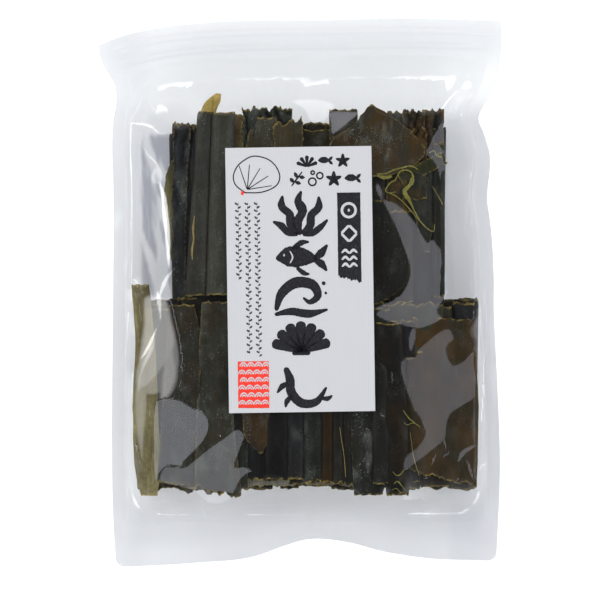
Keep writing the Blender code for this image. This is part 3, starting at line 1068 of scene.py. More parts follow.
    def upper_middle(self) -> list[KelpCut]:
        """Frilled and torn tops that stand out past the label's upper edge."""
        return [
            strip((-28.6, -20.5), (30, 91), "#1f251e", lift=1.2, frill=2.0, wave=0.9, wave_size=14,
                jag=(1, 2.2), side_jag=0.7, side_cut=0.6, bloom=0.3),
            strip((-22, -4), (30, 91.6), "#282b25", lift=-1.4, frill=1.8, wave=0.8, jag=(1, 2.2), bloom=0.4),
            KelpCut([(30, -25.5), (76, -26), (87, -23.2)], [(30, -11), (76, -10.5), (87, -11.6)], "#37352c",
                lift=2.4, side_cut=0.8, side_jag=0.5, bloom=0.2, rust=0.3),
            KelpCut([(30, -13), (83, -13.4)], [(30, 1), (86.5, 1.4)], "#343124", lift=3.0, wave=0.6,
                side_cut=0.9, side_jag=0.7, jag=(1, 1.6), rust=0.3),
            strip((-1, 16), (30, 84), "#0c0b09", lift=-3.2, wave=0.4),
            strip((3, 13), (30, 84.5), "#11100b", lift=-1.0, wave=0.3, side_cut=0.5),
            strip((14.5, 28.6), (30, 91), "#28261e", lift=1.0, wave=0.7, side_cut=0.7, bloom=0.2, rust=0.3),
            strip((26, 42), (30, 84), "#191813", lift=0.2),
        ]

    def upper_right(self) -> list[KelpCut]:
        """Rusty frilled tops, the broad flap over them, a slanting strip and the dark curved leaf."""
        frilled = {"frill": 1.7, "wave": 0.8, "side_cut": 0.7, "wave_size": 16, "rust": 0.7}
        return [
            strip((28, 71.4), (-2.5, 70), "#131410", lift=-1.4, wave_size=40),
            strip((43, 53), (40, 89.5), "#202219", jag=(1, 2.0), **frilled),
            strip((51, 62), (40, 90.5), "#1e1c13", lift=0.7, jag=(1, 2.2), **frilled),
            strip((61, 71.4), (30, 91), "#17150e", lift=0.2, jag=(1, 1.8), **frilled),
            strip((52, 63), (46, 81), "#181b14", lift=1.8, jag=(1, 2.0), **frilled),
            strip((66.6, 71.4), (-2, 74), "#171916", lift=0.8, fold=Fold.ROLLED, roll=3.6, wave=0.3),
            KelpCut([(20, 61.5), (32, 58.5), (50, 54.0), (66, 53.5)], [(20, 64.5), (40, 66.6), (55, 66.8),
                (66, 66)], "#21221d", lift=1.4, wave=0.6, side_cut=0.8, side_jag=0.4),
            strip((57.6, 64.2), (49, 74), "#262715", lift=2.7, turn=-62, side_cut=0.8,
                jag=(0.6, 1.2)),
            KelpCut([(-6, 30), (20, 30), (46, 30)], [(-5.5, 38), (0, 48), (6, 53.2), (13, 54.6), (28, 50.6),
                (38, 45.6), (46, 41.5)], "#111310", lift=2.5, side_cut=0.35),
            KelpCut([(57, 22), (68, 14), (75, 15.5), (85, 28), (93.5, 35.0)], [(58, 44), (63, 56), (69, 62.4),
                (76, 59), (83, 52), (89, 43), (93.5, 36.2)], "#2d2a20", lift=3.3, wave=0.8, wave_size=34,
                bloom=0.5, side_cut=1.0, side_jag=0.8, jag=(0.5, 0.4), rust=0.65, step=1.1),
        ]

    def lower_left(self) -> list[KelpCut]:
        """The two broad olive sheets, the pale piece at the side and the pointed reddish strip."""
        return [
            KelpCut([(-101, -79.0), (-93, -81.0), (-60, -83.2), (-20, -82), (4, -84)], [(-101, -71.0),
                (-93, -69.8), (-60, -70.5), (-20, -72.5), (4, -75)], "#756e4c", level=0.95, lift=3.2,
                thick=1.0, wave=0.8, wave_size=24, jag=(0.4, 0.9), bloom=0.15, side_cut=0.2, rust=0.3),
            strip((-74, -60), (-93, -8), "#1b1c15", lift=0.2),
            strip((-60, -30), (-99, -40), "#25251e", lift=-1.4, jag=(1.8, 1)),
            KelpCut([(-94, -71), (-50, -68), (-6, -65)], [(-97, -51.5), (-50, -50), (-20, -49.6),
                (-6, -52.6)], "#22221d", lift=2.6, wave=1.0, wave_size=46, jag=(1.6, 0.9), bloom=0.22,
                side_cut=0.6, rust=0.3),
            KelpCut([(-97.5, -52.5), (-50, -51), (-24, -50), (-4.5, -48.6)], [(-101.5, -29), (-60, -33),
                (-4.5, -33.5)], "#262720", lift=3.4, wave=1.0, wave_size=40, jag=(2.0, 0.9), bloom=0.3,
                side_cut=0.6, rust=0.2),
            strip((-36, -26), (-98, -40), "#1d201b", lift=1.6, wave=0.6, jag=(1.6, 1)),
            strip((-28, -17.5), (-93, -40), "#0d0f12", lift=0.8),
            KelpCut([(-80, -19.8), (-73, -26.5), (-62, -28.5), (-50, -28.5)], [(-80, -18.6), (-71, -14.8),
                (-62, -14.2), (-50, -14.2)], "#2b2217", lift=3.8, side_cut=0.9, bloom=0.3,
                jag=(0.2, 0.5), rust=0.5),
        ]

    def lower_middle(self) -> list[KelpCut]:
        """The row of folded strips below the label, over a torn pale layer that ends past them."""
        rolled = {"fold": Fold.ROLLED, "wave": 0.4, "jag": (1.2, 0.8)}
        return [
            strip((-30, 29), (-96.5, -70), "#6c6a5e", lift=-1.8, wave=0.6, jag=(2.2, 1), bloom=0.6,
                side_cut=0.8),
            strip((-17.4, -5.5), (-93.0, -40), "#09090c", lift=-0.4, bloom=0.05, **rolled),
            strip((-5.8, 1.8), (-92.6, -40), "#151719", lift=0.3, bloom=0.2, **rolled),
            strip((2.1, 10.4), (-94, -40), "#191c16", lift=0.8, bloom=0.2, **rolled),
            strip((10.7, 16.2), (-94.4, -40), "#1d1404", side_cut=0.6, rust=0.3, bloom=0.0,
                **rolled),
            strip((16.5, 21.2), (-94.4, -40), "#14140f", lift=0.3, side_cut=0.7, **rolled),
            strip((21.0, 26.2), (-94.8, -40), "#13130f", lift=-0.3, **rolled),
            KelpCut([(-100.6, 27.0), (-80, 25.6), (-50, 25.4)], [(-100.6, 41), (-88, 44), (-72, 41.5),
                (-50, 38)], "#171a16", lift=2.6, wave=1.4, wave_size=26, tilt=-2.0, bloom=0.55,
                jag=(0.5, 0.8)),
        ]

    def lower_right(self) -> list[KelpCut]:
        """Dark strips beside the label and the large brown sheet at the side."""
        return [
            strip((36, 56), (-97, -8), "#101016", lift=-0.6),
            strip((38, 71), (-30, -5.4), "#2e2f22", lift=1.4, wave=0.7, jag=(1, 1.8)),
            strip((41, 57), (-33, -14), "#0f0f15", lift=2.4, wave=0.6, side_cut=0.1),
            strip((36.5, 44), (-95, -8), "#161815", lift=1.6, wave=0.6, fold=Fold.ROLLED, roll=4.0),
            KelpCut([(-100.6, 43.4), (-60, 42), (-15, 36)], [(-100.6, 53.6), (-60, 53.4), (-15, 50)],
                "#0a0a08", lift=1.8, fold=Fold.ROLLED, roll=4.4, wave=0.7, rust=0.15),
            strip((56, 87.0), (-87, -14), "#1e1a10", lift=-0.4, jag=(1.6, 1.0)),
            KelpCut([(-88.5, 54), (-40, 53.4), (-12, 56)], [(-96.5, 88), (-50, 88.6), (-13.5, 85.8)],
                "#2a2414", lift=2.0, wave=1.1, wave_size=44, jag=(1.6, 1.0), side_cut=0.2,
                rust=0.7),
        ]

    def pale_edges(self) -> Piece:
        """Pale torn edges and membranes that stand up a little from the kelp and press on the film.

        Returns:
            The piece.
        """
        batch = MeshBatch("kelp_pale_edges")
        edges = [(skin, *edge) for skin, group in PALE_EDGES.items() for edge in group]
        for number, (skin, widths, path) in enumerate(edges):
            x, y = ribbon(path, tuple(0.7 * width for width in widths), 0.3, False, 700 + 3 * number)
            top = self.top(x, y) + 0.1
            upper, lower = placed(x, y, top), placed(x, y, top - 0.7)
            zero = np.zeros_like(x)
            batch.add_slab(upper, lower, {
                "skin": np.broadcast_to(np.array(linear(skin)), (*x.shape, 4)), "cut": zero, "bloom": zero,
                "rust": zero + 0.1, "grain": placed(x, y, zero + number)})
            self.sheets.append(upper)
        return self.finished(batch)


# Film

class Lamp(Enum):
    """The studio's round lamps: degrees off straight up, degrees round from +X, and half of the angle that
    each spans from the pouch.
    """

    KEY_LEFT = (50.0, 168.0, 20.0)
    KEY_RIGHT = (50.0, 14.0, 20.0)
    KEY_TOP = (54.0, 97.0, 20.0)
    KEY_BOTTOM = (54.0, -88.0, 20.0)
    PANEL_LEFT = (19.0, 180.0, 6.5)
    PANEL_RIGHT = (19.0, 0.0, 6.5)

    def way(self) -> Array:
        """Unit vector from the pouch to the lamp."""
        off, round_x = (math.radians(angle) for angle in self.value[:2])
        return np.array([math.sin(off) * math.cos(round_x), math.sin(off) * math.sin(round_x), math.cos(off)])

    def mirror_slope(self, x: Array, y: Array) -> tuple[Array, Array, float]:
        """Slopes of a film face that mirrors the lamp into the camera: its normal halves the ways to both,
        and a slope is minus the normal's side part over its upward part.

        Args:
            x, y: The points.

        Returns:
            The rise along X, the rise along Y, and how far a slope may be off and still mirror the lamp.
        """
        place = np.stack([x * MM, y * MM, 0 * x + FILM_HEIGHT], axis=-1)
        camera = np.array([0.0, 0.0, CAMERA_HEIGHT])
        ways = [target - place for target in (self.way() * LAMP_DISTANCE, camera)]
        normal = sum(way / np.linalg.norm(way, axis=-1, keepdims=True) for way in ways)
        off, _, half = self.value
        reach = math.tan(math.radians(off + half) / 2) - math.tan(math.radians(off) / 2)
        return -normal[..., 0] / normal[..., 2], -normal[..., 1] / normal[..., 2], reach


@dataclass(frozen=True)
class Glint:
    """A part of the film that leans towards a lamp, so that it mirrors it straight up.

    Attributes:
        lamp: The lamp.
        level: Share of the lamp's brightness that it mirrors.
        soft: Width of its soft edge.
        widths: Widths of a streak, evenly spaced along its path, or none for a patch.
        path: Points along the streak, or corners of the patch.
    """

    lamp: Lamp
    level: float
    soft: float
    widths: tuple[float, ...]
    path: Stations

    def share(self, x: Array, y: Array) -> Array:
        """Share of the lamp's brightness at each point: the level, fading over the soft edge.

        Args:
            x, y: The points.

        Returns:
            Shares, 0 outside.
        """
        ends, margin = np.array(self.path), 4.0 + max(self.widths, default=0.0)
        near = ((x > ends[:, 0].min() - margin) & (x < ends[:, 0].max() + margin)
                & (y > ends[:, 1].min() - margin) & (y < ends[:, 1].max() + margin))
        found = np.zeros(x.shape)
        if self.widths:
            distance, along = distance_to(path_through(self.path, 28), x[near], y[near])
            half = np.interp(along, np.linspace(0, 1, len(self.widths)), self.widths) / 2
            depth = half - distance
        else:
            corners = rounded(self.path)
            distance, _ = distance_to(np.array(corners + corners[:1]), x[near], y[near])
            depth = distance * inside_outline(x[near], y[near], corners)
        found[near] = self.level * smooth_step(depth / self.soft, 0.0, 1.0)
        return found


# Where the film catches each lamp: level, soft edge, widths and path, as Glint has them. They are the
# crumpled left side, the broad grey patches over the kelp, the header's soft bands and the foot's sparks.
FILM_GLINTS = {
    Lamp.KEY_LEFT: [
        (0.3, 2.6, (), [(-71, -1.5), (-67, -2), (-63, -11), (-59, -27.6), (-59, -38), (-62, -47), (-68, -51),
         (-76, -52), (-82.5, -49.6), (-83, -37), (-80, -25), (-76.5, -14)]),
        (0.08, 3, (), [(-77, 96.4), (-86.1, 84.7), (-80.5, 83), (-69.3, 84.7)]),
        (0.5, 0.5, (0.4, 1.6, 2.2, 1, 0.4), [(-88.2, 84.9), (-81.9, 84.2), (-74.9, 83), (-68.6, 78.9),
         (-63, 82.1)]),
        (0.14, 0.4, (0.6, 1, 0.8, 0.6), [(-88.2, 81), (-83.3, 59.3), (-84, 31.2), (-87.5, 10.9)]),
        (0.09, 2.2, (), [(-87.5, 80.3), (-81.2, 81), (-79.8, 62.1), (-75.6, 38.2), (-74.9, 29.1),
         (-78.4, 13.7), (-81.2, 6.7), (-86.8, 10.9), (-84, 27.7), (-83.3, 57.9)]),
        (0.55, 0.8, (0.8, 1.6, 2, 1.2), [(-80.9, 78.2), (-77, 70.5), (-72.1, 64.9), (-67.9, 57.9)]),
        (0.35, 1.5, (), [(-74.9, 58.6), (-71.7, 63.1), (-67.9, 59.3), (-67.9, 55.8), (-70.7, 53),
         (-74.2, 54.4)]),
        (0.85, 1.3, (2, 3.8, 4.4, 4, 3.2, 1.6), [(-70, 55.1), (-67.9, 48), (-66.8, 38.2), (-65.8, 27.7),
         (-65.4, 18.6), (-65.1, 12.3)]),
        (0.12, 2.5, (), [(-74.2, 81), (-63, 80.3), (-63.7, 64.9), (-67.9, 59.3), (-70.7, 62.1),
         (-73.5, 70.5)]),
        (0.55, 0.9, (1, 2.6, 3.2, 2.2, 1), [(-63, 11.6), (-66.5, 6.7), (-68.9, 1.1), (-70.7, -6)]),
        (0.3, 0.6, (0.6, 1, 0.6), [(-80.9, 5.3), (-77, 0.4), (-72.8, -2.5), (-70, -6)]),
        (0.2, 0.6, (0.6, 1.2, 0.8), [(-87.9, 10.9), (-84.7, 8.8), (-80.5, 3.9), (-79.1, -3.9)]),
        (0.1, 1.6, (1.5, 3, 1.5), [(-77, 71.9), (-75.6, 64.9), (-74.2, 56.5)]),
        (0.8, 0.8, (1, 3.4, 2, 0.8), [(-71.1, 1.3), (-70, -4.5), (-69.4, -10.4), (-69.6, -14.4)]),
        (0.42, 3.5, (), [(-78.5, -1), (-66, -1.5), (-62, -13), (-60, -26), (-66, -38), (-76, -49), (-83, -48),
         (-82, -33), (-79.5, -16)]),
        (0.4, 4.5, (), [(-70.4, -14.4), (-64.1, -14.4), (-61.2, -22.8), (-59, -33.8), (-58.6, -41.9),
         (-61.2, -50), (-65.6, -55.1), (-71.5, -56.6), (-72.2, -45.6), (-70.7, -31.6), (-71.8, -22.8)]),
        (0.72, 4, (), [(-70.7, -15.1), (-75.9, -24.3), (-80.3, -33.8), (-82.5, -45.6), (-82.1, -51.4),
         (-78.1, -49.2), (-75.9, -39.7), (-71.5, -31.6), (-69.6, -22.8)]),
        (0.95, 1, (1, 2.4, 3, 1.6), [(-70.7, -16.2), (-72.9, -21.4), (-75.9, -28), (-78.8, -32.4)]),
        (0.4, 0.8, (0.8, 1.6, 1), [(-82.5, -52.9), (-79.9, -55.8), (-75.9, -56.6)]),
        (0.3, 3, (), [(-83.2, -46), (-75, -46), (-75.9, -72), (-78.1, -88.1), (-81, -79.3), (-83.2, -68.3)]),
        (0.12, 0.5, (0.6, 1, 0.8), [(-85.4, -9.6), (-87.2, -28), (-88, -39.7)]),
        (0.14, 3, (3, 7, 8, 4), [(-70.7, -81.5), (-63.4, -74.9), (-56.1, -70.5), (-48.7, -68.3)]),
        (0.12, 0.3, (0.3, 0.6, 0.3), [(-68.9, -90.3), (-67.8, -87.4), (-63.4, -85.2), (-59, -86.3)]),
        (0.9, 0.3, (0.6, 0.9, 0.6), [(-72.8, -80.4), (-72.5, -83.7)]),
        (0.9, 0.3, (0.6, 0.9, 0.6), [(-40.5, -69.8), (-39.2, -71.2)]),
        (0.08, 1.5, (2, 4, 2), [(-92, 109), (-82, 109), (-73, 103.5), (-62, 104.5), (-49, 105)]),
        (0.105, 0.4, (0.4, 0.9, 0.4), [(-92, 109), (-82, 109), (-73, 103.5), (-62, 104.5), (-49, 105)]),
        (0.105, 0.4, (0.5, 0.8, 0.5), [(-92, 102), (-84, 102.2), (-76, 102)]),
        (0.35, 0.4, (0.4, 1, 0.6), [(-77, 101), (-80, 94), (-84, 86)]),
        (0.35, 0.4, (0.4, 1, 0.6), [(-77, 101), (-74, 93), (-70, 86)]),
        (0.105, 0.4, (0.5, 1, 0.5), [(-57, 116), (-55.6, 113.6), (-55.4, 111)]),
        (0.08, 0.5, (0.5, 1.1, 0.5), [(-86.5, -98), (-86.8, -106), (-86.4, -114)]),
    ],
    Lamp.PANEL_LEFT: [
        (0.75, 0.6, (), [(-72.2, -56.6), (-61.9, -52.9), (-53.1, -57.3), (-48, -59.5), (-45.1, -65.4),
         (-47.3, -72.7), (-52.4, -78.6), (-57.5, -83.7), (-59, -86.3), (-65.6, -85.9), (-69.3, -88.8),
         (-72.2, -93.2)]),
        (0.6, 0.5, (), [(-69.3, -94), (-67.8, -87.4), (-63.4, -86.3), (-57.5, -86.6), (-53.1, -83.7),
         (-45.8, -77.8), (-37.7, -72), (-31.9, -67.9), (-28.6, -68.7), (-27.5, -72), (-29.7, -77.8),
         (-32.2, -84.4), (-31.5, -86.6), (-27.5, -86.3), (-23.1, -88.5), (-26.7, -90.3), (-29.7, -93.2),
         (-32.6, -99.1), (-37, -104.2), (-45.1, -105), (-53.1, -99.1), (-59, -96.9)]),
    ],
    Lamp.PANEL_RIGHT: [
        (0.42, 0.5, (), [(63.1, -24.3), (69, -19.5), (74.1, -17.9), (76.5, -22.8), (73, -26.9), (73.8, -33.1),
         (76.7, -35.9), (81.5, -33.8), (87.5, -29.8), (88.8, -49.2), (82.2, -55.1), (74.9, -60.2),
         (72.8, -66.1), (71.9, -72.7), (65.3, -78.6), (58.7, -83.7), (53.2, -88.1), (51.3, -86.6),
         (52.5, -81.5), (58.7, -76.4), (62.4, -69.8), (59.5, -62.4), (55.8, -56.6), (53.6, -50),
         (50.7, -41.9), (49.8, -35.3), (52.9, -32), (57.3, -31.6), (58.7, -28)]),
        (0.55, 0.5, (), [(37.5, -10.7), (41.9, -7.1), (49.2, -1.6), (58, 1.3), (72.7, 1.3), (71.9, -2.3),
         (68.3, -8.9), (70.5, -12.9), (64.6, -16.2), (58, -17.9), (46.3, -15.1), (41.9, -13.7)]),
        (0.5, 0.4, (), [(55.8, -17.7), (57.6, -18.4), (57.3, -23.6), (55.1, -29.4), (53.6, -25.8),
         (54.3, -20.6)]),
        (0.4, 0.4, (0.5, 1.2, 0.6), [(45.9, -38.2), (45.5, -41.9), (46.1, -45.6)]),
        (0.4, 0.4, (0.5, 1.4, 0.6), [(39.7, -60.2), (41.9, -61.3)]),
        (0.5, 0.3, (0.5, 1.2, 0.5), [(71.6, -72.7), (72.7, -78.2)]),
        (0.5, 0.3, (0.5, 1.6, 0.5), [(67.5, -80.4), (65.3, -85.9)]),
        (0.5, 0.3, (0.5, 1.2, 0.5), [(70.5, -82.2), (74.5, -78.9)]),
        (0.5, 0.4, (0.8, 2.6, 2, 0.8), [(78.9, -83.7), (80.7, -80), (84.4, -77.5), (88.4, -75.3)]),
        (0.5, 0.4, (0.6, 2, 1.6, 0.6), [(83.3, -84.1), (85.1, -89.6), (87, -95.4)]),
        (0.45, 0.3, (0.5, 1.6, 0.5), [(60.2, -92.9), (65.3, -91.4)]),
        (0.45, 0.3, (0.5, 1.4, 0.5), [(76.3, -94.7), (80, -91.4)]),
        (0.56, 0.5, (), [(41.2, 45.9), (46.9, 44.5), (53.2, 39.6), (58.1, 33.7), (60.5, 29.1), (63.3, 25.3),
         (65.9, 26.7), (67.9, 24.2), (70.7, 20), (72.1, 10.2), (72, -1.8), (65.1, -2.5), (63.3, 1.8),
         (63.3, -8.6), (38.4, -8.6), (40.5, -6), (48.3, -2.5), (52.5, 3.2), (54.6, 10.2), (53.2, 17.2),
         (50.4, 24.9), (46.9, 34), (43.3, 41)]),
        (0.55, 0.4, (), [(37.4, 53), (38.8, 54.4), (40.5, 50.9), (41.1, 45.9), (39.5, 47.3), (37.7, 50.9)]),
        (0.5, 0.5, (), [(71.7, 82.4), (67.5, 80.3), (64, 73.3), (62.6, 69.8), (65.1, 66.3), (67.9, 62.1),
         (69.6, 55.1), (71.7, 45.2)]),
        (0.9, 1.2, (), [(14.6, 90.1), (27.9, 90.1), (28.6, 88), (23, 83.1), (16, 78.2), (14.9, 83.8)]),
    ],
    Lamp.KEY_RIGHT: [
        (0.3, 0.3, (0.4, 0.7, 0.4), [(89.5, -88.5), (90.3, -86.3), (92.8, -85.2), (91.4, -87.7)]),
        (0.12, 0.6, (0.8, 1.4, 1, 0.8), [(91.7, 1.3), (92.3, -20.6), (91.7, -42.6), (90.3, -64.6)]),
        (0.14, 0.5, (0.6, 1.6, 0.8), [(94, 118), (92, 108), (88, 98)]),
        (0.122, 0.6, (0.8, 2.8, 0.8), [(67, 100.5), (76.5, 108), (86.5, 114.6)]),
        (0.07, 2, (2, 4, 3), [(86, 60), (84, 30), (87, 0)]),
        (0.25, 0.4, (0.4, 0.9, 0.4), [(94, 46), (88.5, 44.6), (84.5, 43.4)]),
    ],
    Lamp.KEY_TOP: [
        (0.18, 0.7, (), [(59.5, -110.8), (64.6, -106.8), (70.5, -107.9), (65.3, -113)]),
        (0.3, 1.8, (), [(-11.4, 92.9), (-5.1, 93.6), (1.3, 90.1), (4.1, 84.9), (8.3, 83.5), (12.5, 84.5),
         (16, 88.7), (18.1, 93.6), (12.5, 96.4), (-0.8, 97.1)]),
        (0.05, 5, (6, 10, 6), [(14, 93), (40, 109), (64, 117)]),
        (0.077, 0.5, (0.3, 0.6, 0.3), [(16, 94), (30, 103), (42, 110)]),
        (0.08, 2, (2, 5, 2), [(-32, 113), (-18, 107), (-2, 101)]),
        (0.087, 0.4, (0.3, 0.6, 0.3), [(-32, 113), (-18, 107), (-2, 101)]),
        (0.1, 1.2, (2, 3, 1.5), [(-3, 103), (4, 97), (10, 91)]),
    ],
    Lamp.KEY_BOTTOM: [
        (0.06, 0.5, (0.4, 1, 0.4), [(-74, -110), (-65, -108.4), (-56, -111), (-54.6, -116)]),
        (0.18, 0.6, (0.6, 2.4, 0.8), [(-49.5, -105), (-47.8, -110), (-46.3, -116)]),
        (0.24, 0.4, (0.5, 1.3, 0.5), [(-26.2, -108), (-24.6, -113.8), (-21.5, -110.4)]),
        (0.3, 0.4, (0.5, 1, 0.5), [(-71, -131), (-70.6, -134)]),
        (0.12, 0.4, (0.5, 1, 0.5), [(-45.8, -128), (-45.4, -132.5)]),
        (0.35, 0.4, (0.4, 0.9, 0.4), [(45.3, -115.8), (48.5, -112.7), (51, -115.4)]),
        (0.12, 0.4, (0.4, 1, 0.4), [(54.4, -103.6), (55.5, -106), (56.4, -109)]),
        (0.06, 3, (4, 9, 5), [(-20, -104), (20, -108), (60, -104)]),
        (0.06, 3, (3, 7, 3), [(60, -118), (75, -122), (90, -116)]),
    ],
}


@dataclass
class PouchFilm:
    """The clear film, front and back, welded at the rim.

    Attributes:
        form: The pouch's form.
        material: The film's finish.
        kelp: The kelp that the film lies on.
        label: The label, which holds the film flat under it.
        columns, rows: Points across and along the front sheet.
        kelp_gap: How far the film stays over the kelp.
        ply: Height of each sheet off the middle of a weld.
        inflation: Rise of a free point over the mean of its neighbours.
        clearance: Reach of a lamp that slopes keep out of, as a share of its own.
        steeper: How much steeper than a panel's mirror slope a slope is still moved.
        zip_ribs: Distances from the top edge to the two sides of each rib.
        zip_height: Height of the ribs.
        body_dull, left_dull, header_dull, painted_kelp_shadow, zip_painted_shade: Greying of the film over
        its body, at its left
            edge and in its header, painted shadow of the kelp at its foot and right side, and painted shade
            on the zip's flanks.
        crumple_painted_shade: Painted fold shade on the crumpled side: its least, and what its streaks add.
    """

    form: PouchForm
    material: Material
    kelp: KelpBed
    label: "PaperLabel"
    columns: int = 271
    rows: int = 361
    kelp_gap: float = 0.45
    ply: float = 0.15
    inflation: float = 0.0007
    clearance: float = 1.12
    steeper: float = 0.1
    zip_ribs: tuple[tuple[float, float], ...] = ((4.6, 7.4), (12.4, 14.6))
    zip_height: float = 0.5
    body_dull: float = 0.07
    left_dull: float = 0.09
    header_dull: float = 0.08
    # Painted shadow of the kelp on the film at its foot and right side.
    painted_kelp_shadow: float = 0.22
    # Painted shade on the zip's flanks.
    zip_painted_shade: float = 0.13
    # Painted fold shade on the crumpled side.
    crumple_painted_shade: tuple[float, float] = (0.16, 0.5)

    def glints(self) -> list[Glint]:
        """The parts of the film that lean, lamp by lamp."""
        return [Glint(lamp, *row) for lamp, rows in FILM_GLINTS.items() for row in rows]

    def build(self) -> list[Piece]:
        """Makes the front sheet, and the back sheet from every second point.

        Returns:
            The pieces.
        """
        u, v = shares(self.columns, self.rows)
        x, y = self.form.patch(u, v)
        middle = self.form.weld_sheet(x, y) + 0.25 * ripple(x, y, 70.0, 3) + 0.08 * ripple(x, y, 22.0, 4)
        sealed = self.sealed(u, v, x, y)
        front = self.front_height(u, v, x, y, middle, sealed)
        back = self.back_height(u, v, x, y, middle, sealed)
        lean = self.lean(x, y, front)
        x, y = self.form.round_corners(x, y)
        # The grey tint, partly painted shade and painted shadow, goes to both sheets.
        marks = {"weld": blurred(sealed.astype(float), 2), "grey_and_painted_shade": self.grey_and_shade_share(u, v, x, y)}
        front_sheet, back_sheet = MeshBatch("film_front"), MeshBatch("film_back")
        front_sheet.add_grid(placed(x, y, front), {**marks, "lean": lean})
        every = slice(None, None, 2)
        back_sheet.add_grid(placed(x, y, back)[every, every][:, ::-1],
                            {name: values[every, every][:, ::-1] for name, values in marks.items()})
        pieces = [front_sheet.build(self.material), back_sheet.build(self.material)]
        for piece in pieces:
            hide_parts("bag")
        return pieces

    def grey_and_shade_share(self, u: Array, v: Array, x: Array, y: Array) -> Array:
        """Share of the grey tint at each point, much of it painted shade: the parts add up, the foot and the
        right side carry painted shadow of the kelp, and painted fold shade on the crumpled side and painted
        shade on the zip's flanks cover them where they are stronger.

        Returns:
            Shares from 0 to 1.
        """
        body = smooth_step(-y, -100.0, -84.0)
        # Painted shadow of the kelp: over the foot, stronger to the right, and down the right side.
        foot = smooth_step(-y, 94.0, 106.0) * (0.28 + 0.42 * smooth_step(x, -80.0, -10.0))
        right = smooth_step(x, 60.0, 80.0) * body
        grey_and_painted_shade = (self.body_dull * body + self.left_dull * smooth_step(-x, 70.0, 86.0)
                + self.header_dull * smooth_step(y, 106.0, 130.0) + self.painted_kelp_shadow * np.maximum(right, foot))
        # Painted fold shade: uneven streaks of grey over the crumpled side.
        painted_fold_shade = smooth_step(ripple(2.4 * x + 0.5 * y, 0.45 * y - 0.5 * x, 25.0, 31), -0.35, 0.35)
        crumple = smooth_box(x, -79.0, -61.0, 2.0) * smooth_box(y, -8.0, 79.0, 4.0)
        least, more = self.crumple_painted_shade
        # Painted shade on the zip's flanks, by the steepness of the ribs.
        painted_flank_shade = np.abs(np.gradient(self.zip_relief(u, v, x, y), axis=0))
        grey_and_painted_shade = np.maximum(grey_and_painted_shade, crumple * (least + more * painted_fold_shade))
        return np.maximum(grey_and_painted_shade, self.zip_painted_shade * painted_flank_shade / painted_flank_shade.max())

    def sealed(self, u: Array, v: Array, x: Array, y: Array) -> Array:
        """True where the two sheets are welded or held flat by the zip: at the sides, bottom and header."""
        left, right, top = self.form.from_edges(u, v, x, y)
        sides = (left < self.form.side_weld) | (right < self.form.side_weld)
        return sides | (y < self.form.bottom_weld_y) | (top < self.form.header)

    def zip_relief(self, u: Array, v: Array, x: Array, y: Array) -> Array:
        """Height of the zip's ribs: a smooth box across each rib, fading near the side welds."""
        left, right, top = self.form.from_edges(u, v, x, y)
        ribs = sum(smooth_box(top, low, high, 1.4) for low, high in self.zip_ribs)
        return self.zip_height * ribs * smooth_step(np.minimum(left, right), 5.5, 7.5)

    def front_height(self, u: Array, v: Array, x: Array, y: Array, middle: Array, sealed: Array) -> Array:
        """The front sheet, as a taut skin: every free point is the mean of its neighbours plus a little
        inflation, and stays over the kelp. Small uneven waves are added where it is free.

        Returns:
            Heights.
        """
        lowest = blurred(np.maximum(self.kelp.top(x, y) + self.kelp_gap, middle + self.ply), 8)
        under_label, label_floor = self.label.under(x, y)
        fixed = sealed | (under_label > 0.5)
        welded = middle + self.ply + self.zip_relief(u, v, x, y)
        held = np.where(under_label > 0.5, label_floor - 0.12, welded)
        height = np.where(fixed, held, np.maximum(lowest, 20.0))
        height = self.relax(height, fixed, lowest, 900)
        waves = 0.2 * ripple(x, y, 30.0, 17) + 0.08 * ripple(x, y, 11.0, 18)
        height = np.where(fixed, height, np.maximum(height + waves, lowest))
        stiff = (under_label > 0.5) | (self.form.from_edges(u, v, x, y)[2] < self.form.header)
        return np.where(stiff, height, blurred(height, 7))

    def lean(self, x: Array, y: Array, height: Array) -> Array:
        """How the film's finest creases turn its face, as what is added to its unit normal: the mean of the
        four faces round a point. In a glint the slope moves to where the lamp's brightness, (1 - r^2)^2 at
        share r of its reach, is the glint's share; elsewhere it moves out of every lamp's reach.

        Args:
            x, y: The points.
            height: Height of the film.

        Returns:
            (rows, columns, 3) vectors.
        """
        grid = placed(x, y, height)
        faces = unit(np.cross(grid[1:, 1:] - grid[:-1, :-1], grid[1:, :-1] - grid[:-1, 1:]))
        faces = np.pad(faces, ((1, 1), (1, 1), (0, 0)), mode="edge")
        normal = unit(faces[1:, 1:] + faces[1:, :-1] + faces[:-1, 1:] + faces[:-1, :-1])
        rises = -normal[..., :2] / normal[..., 2:]
        to_x, to_y = self.out_of_lamps(x, y, rises[..., 0], rises[..., 1])
        best = np.full(x.shape, 0.004)
        for glint in self.glints():
            share = glint.share(x, y)
            mirror_x, mirror_y, reach = glint.lamp.mirror_slope(x, y)
            nearer = 1 - reach * np.sqrt(1 - np.sqrt(share)) / np.hypot(mirror_x, mirror_y)
            to_x = np.where(share > best, mirror_x * nearer, to_x)
            to_y = np.where(share > best, mirror_y * nearer, to_y)
            best = np.maximum(best, share)
        return unit(placed(-to_x, -to_y, 1 + 0 * x)) - normal

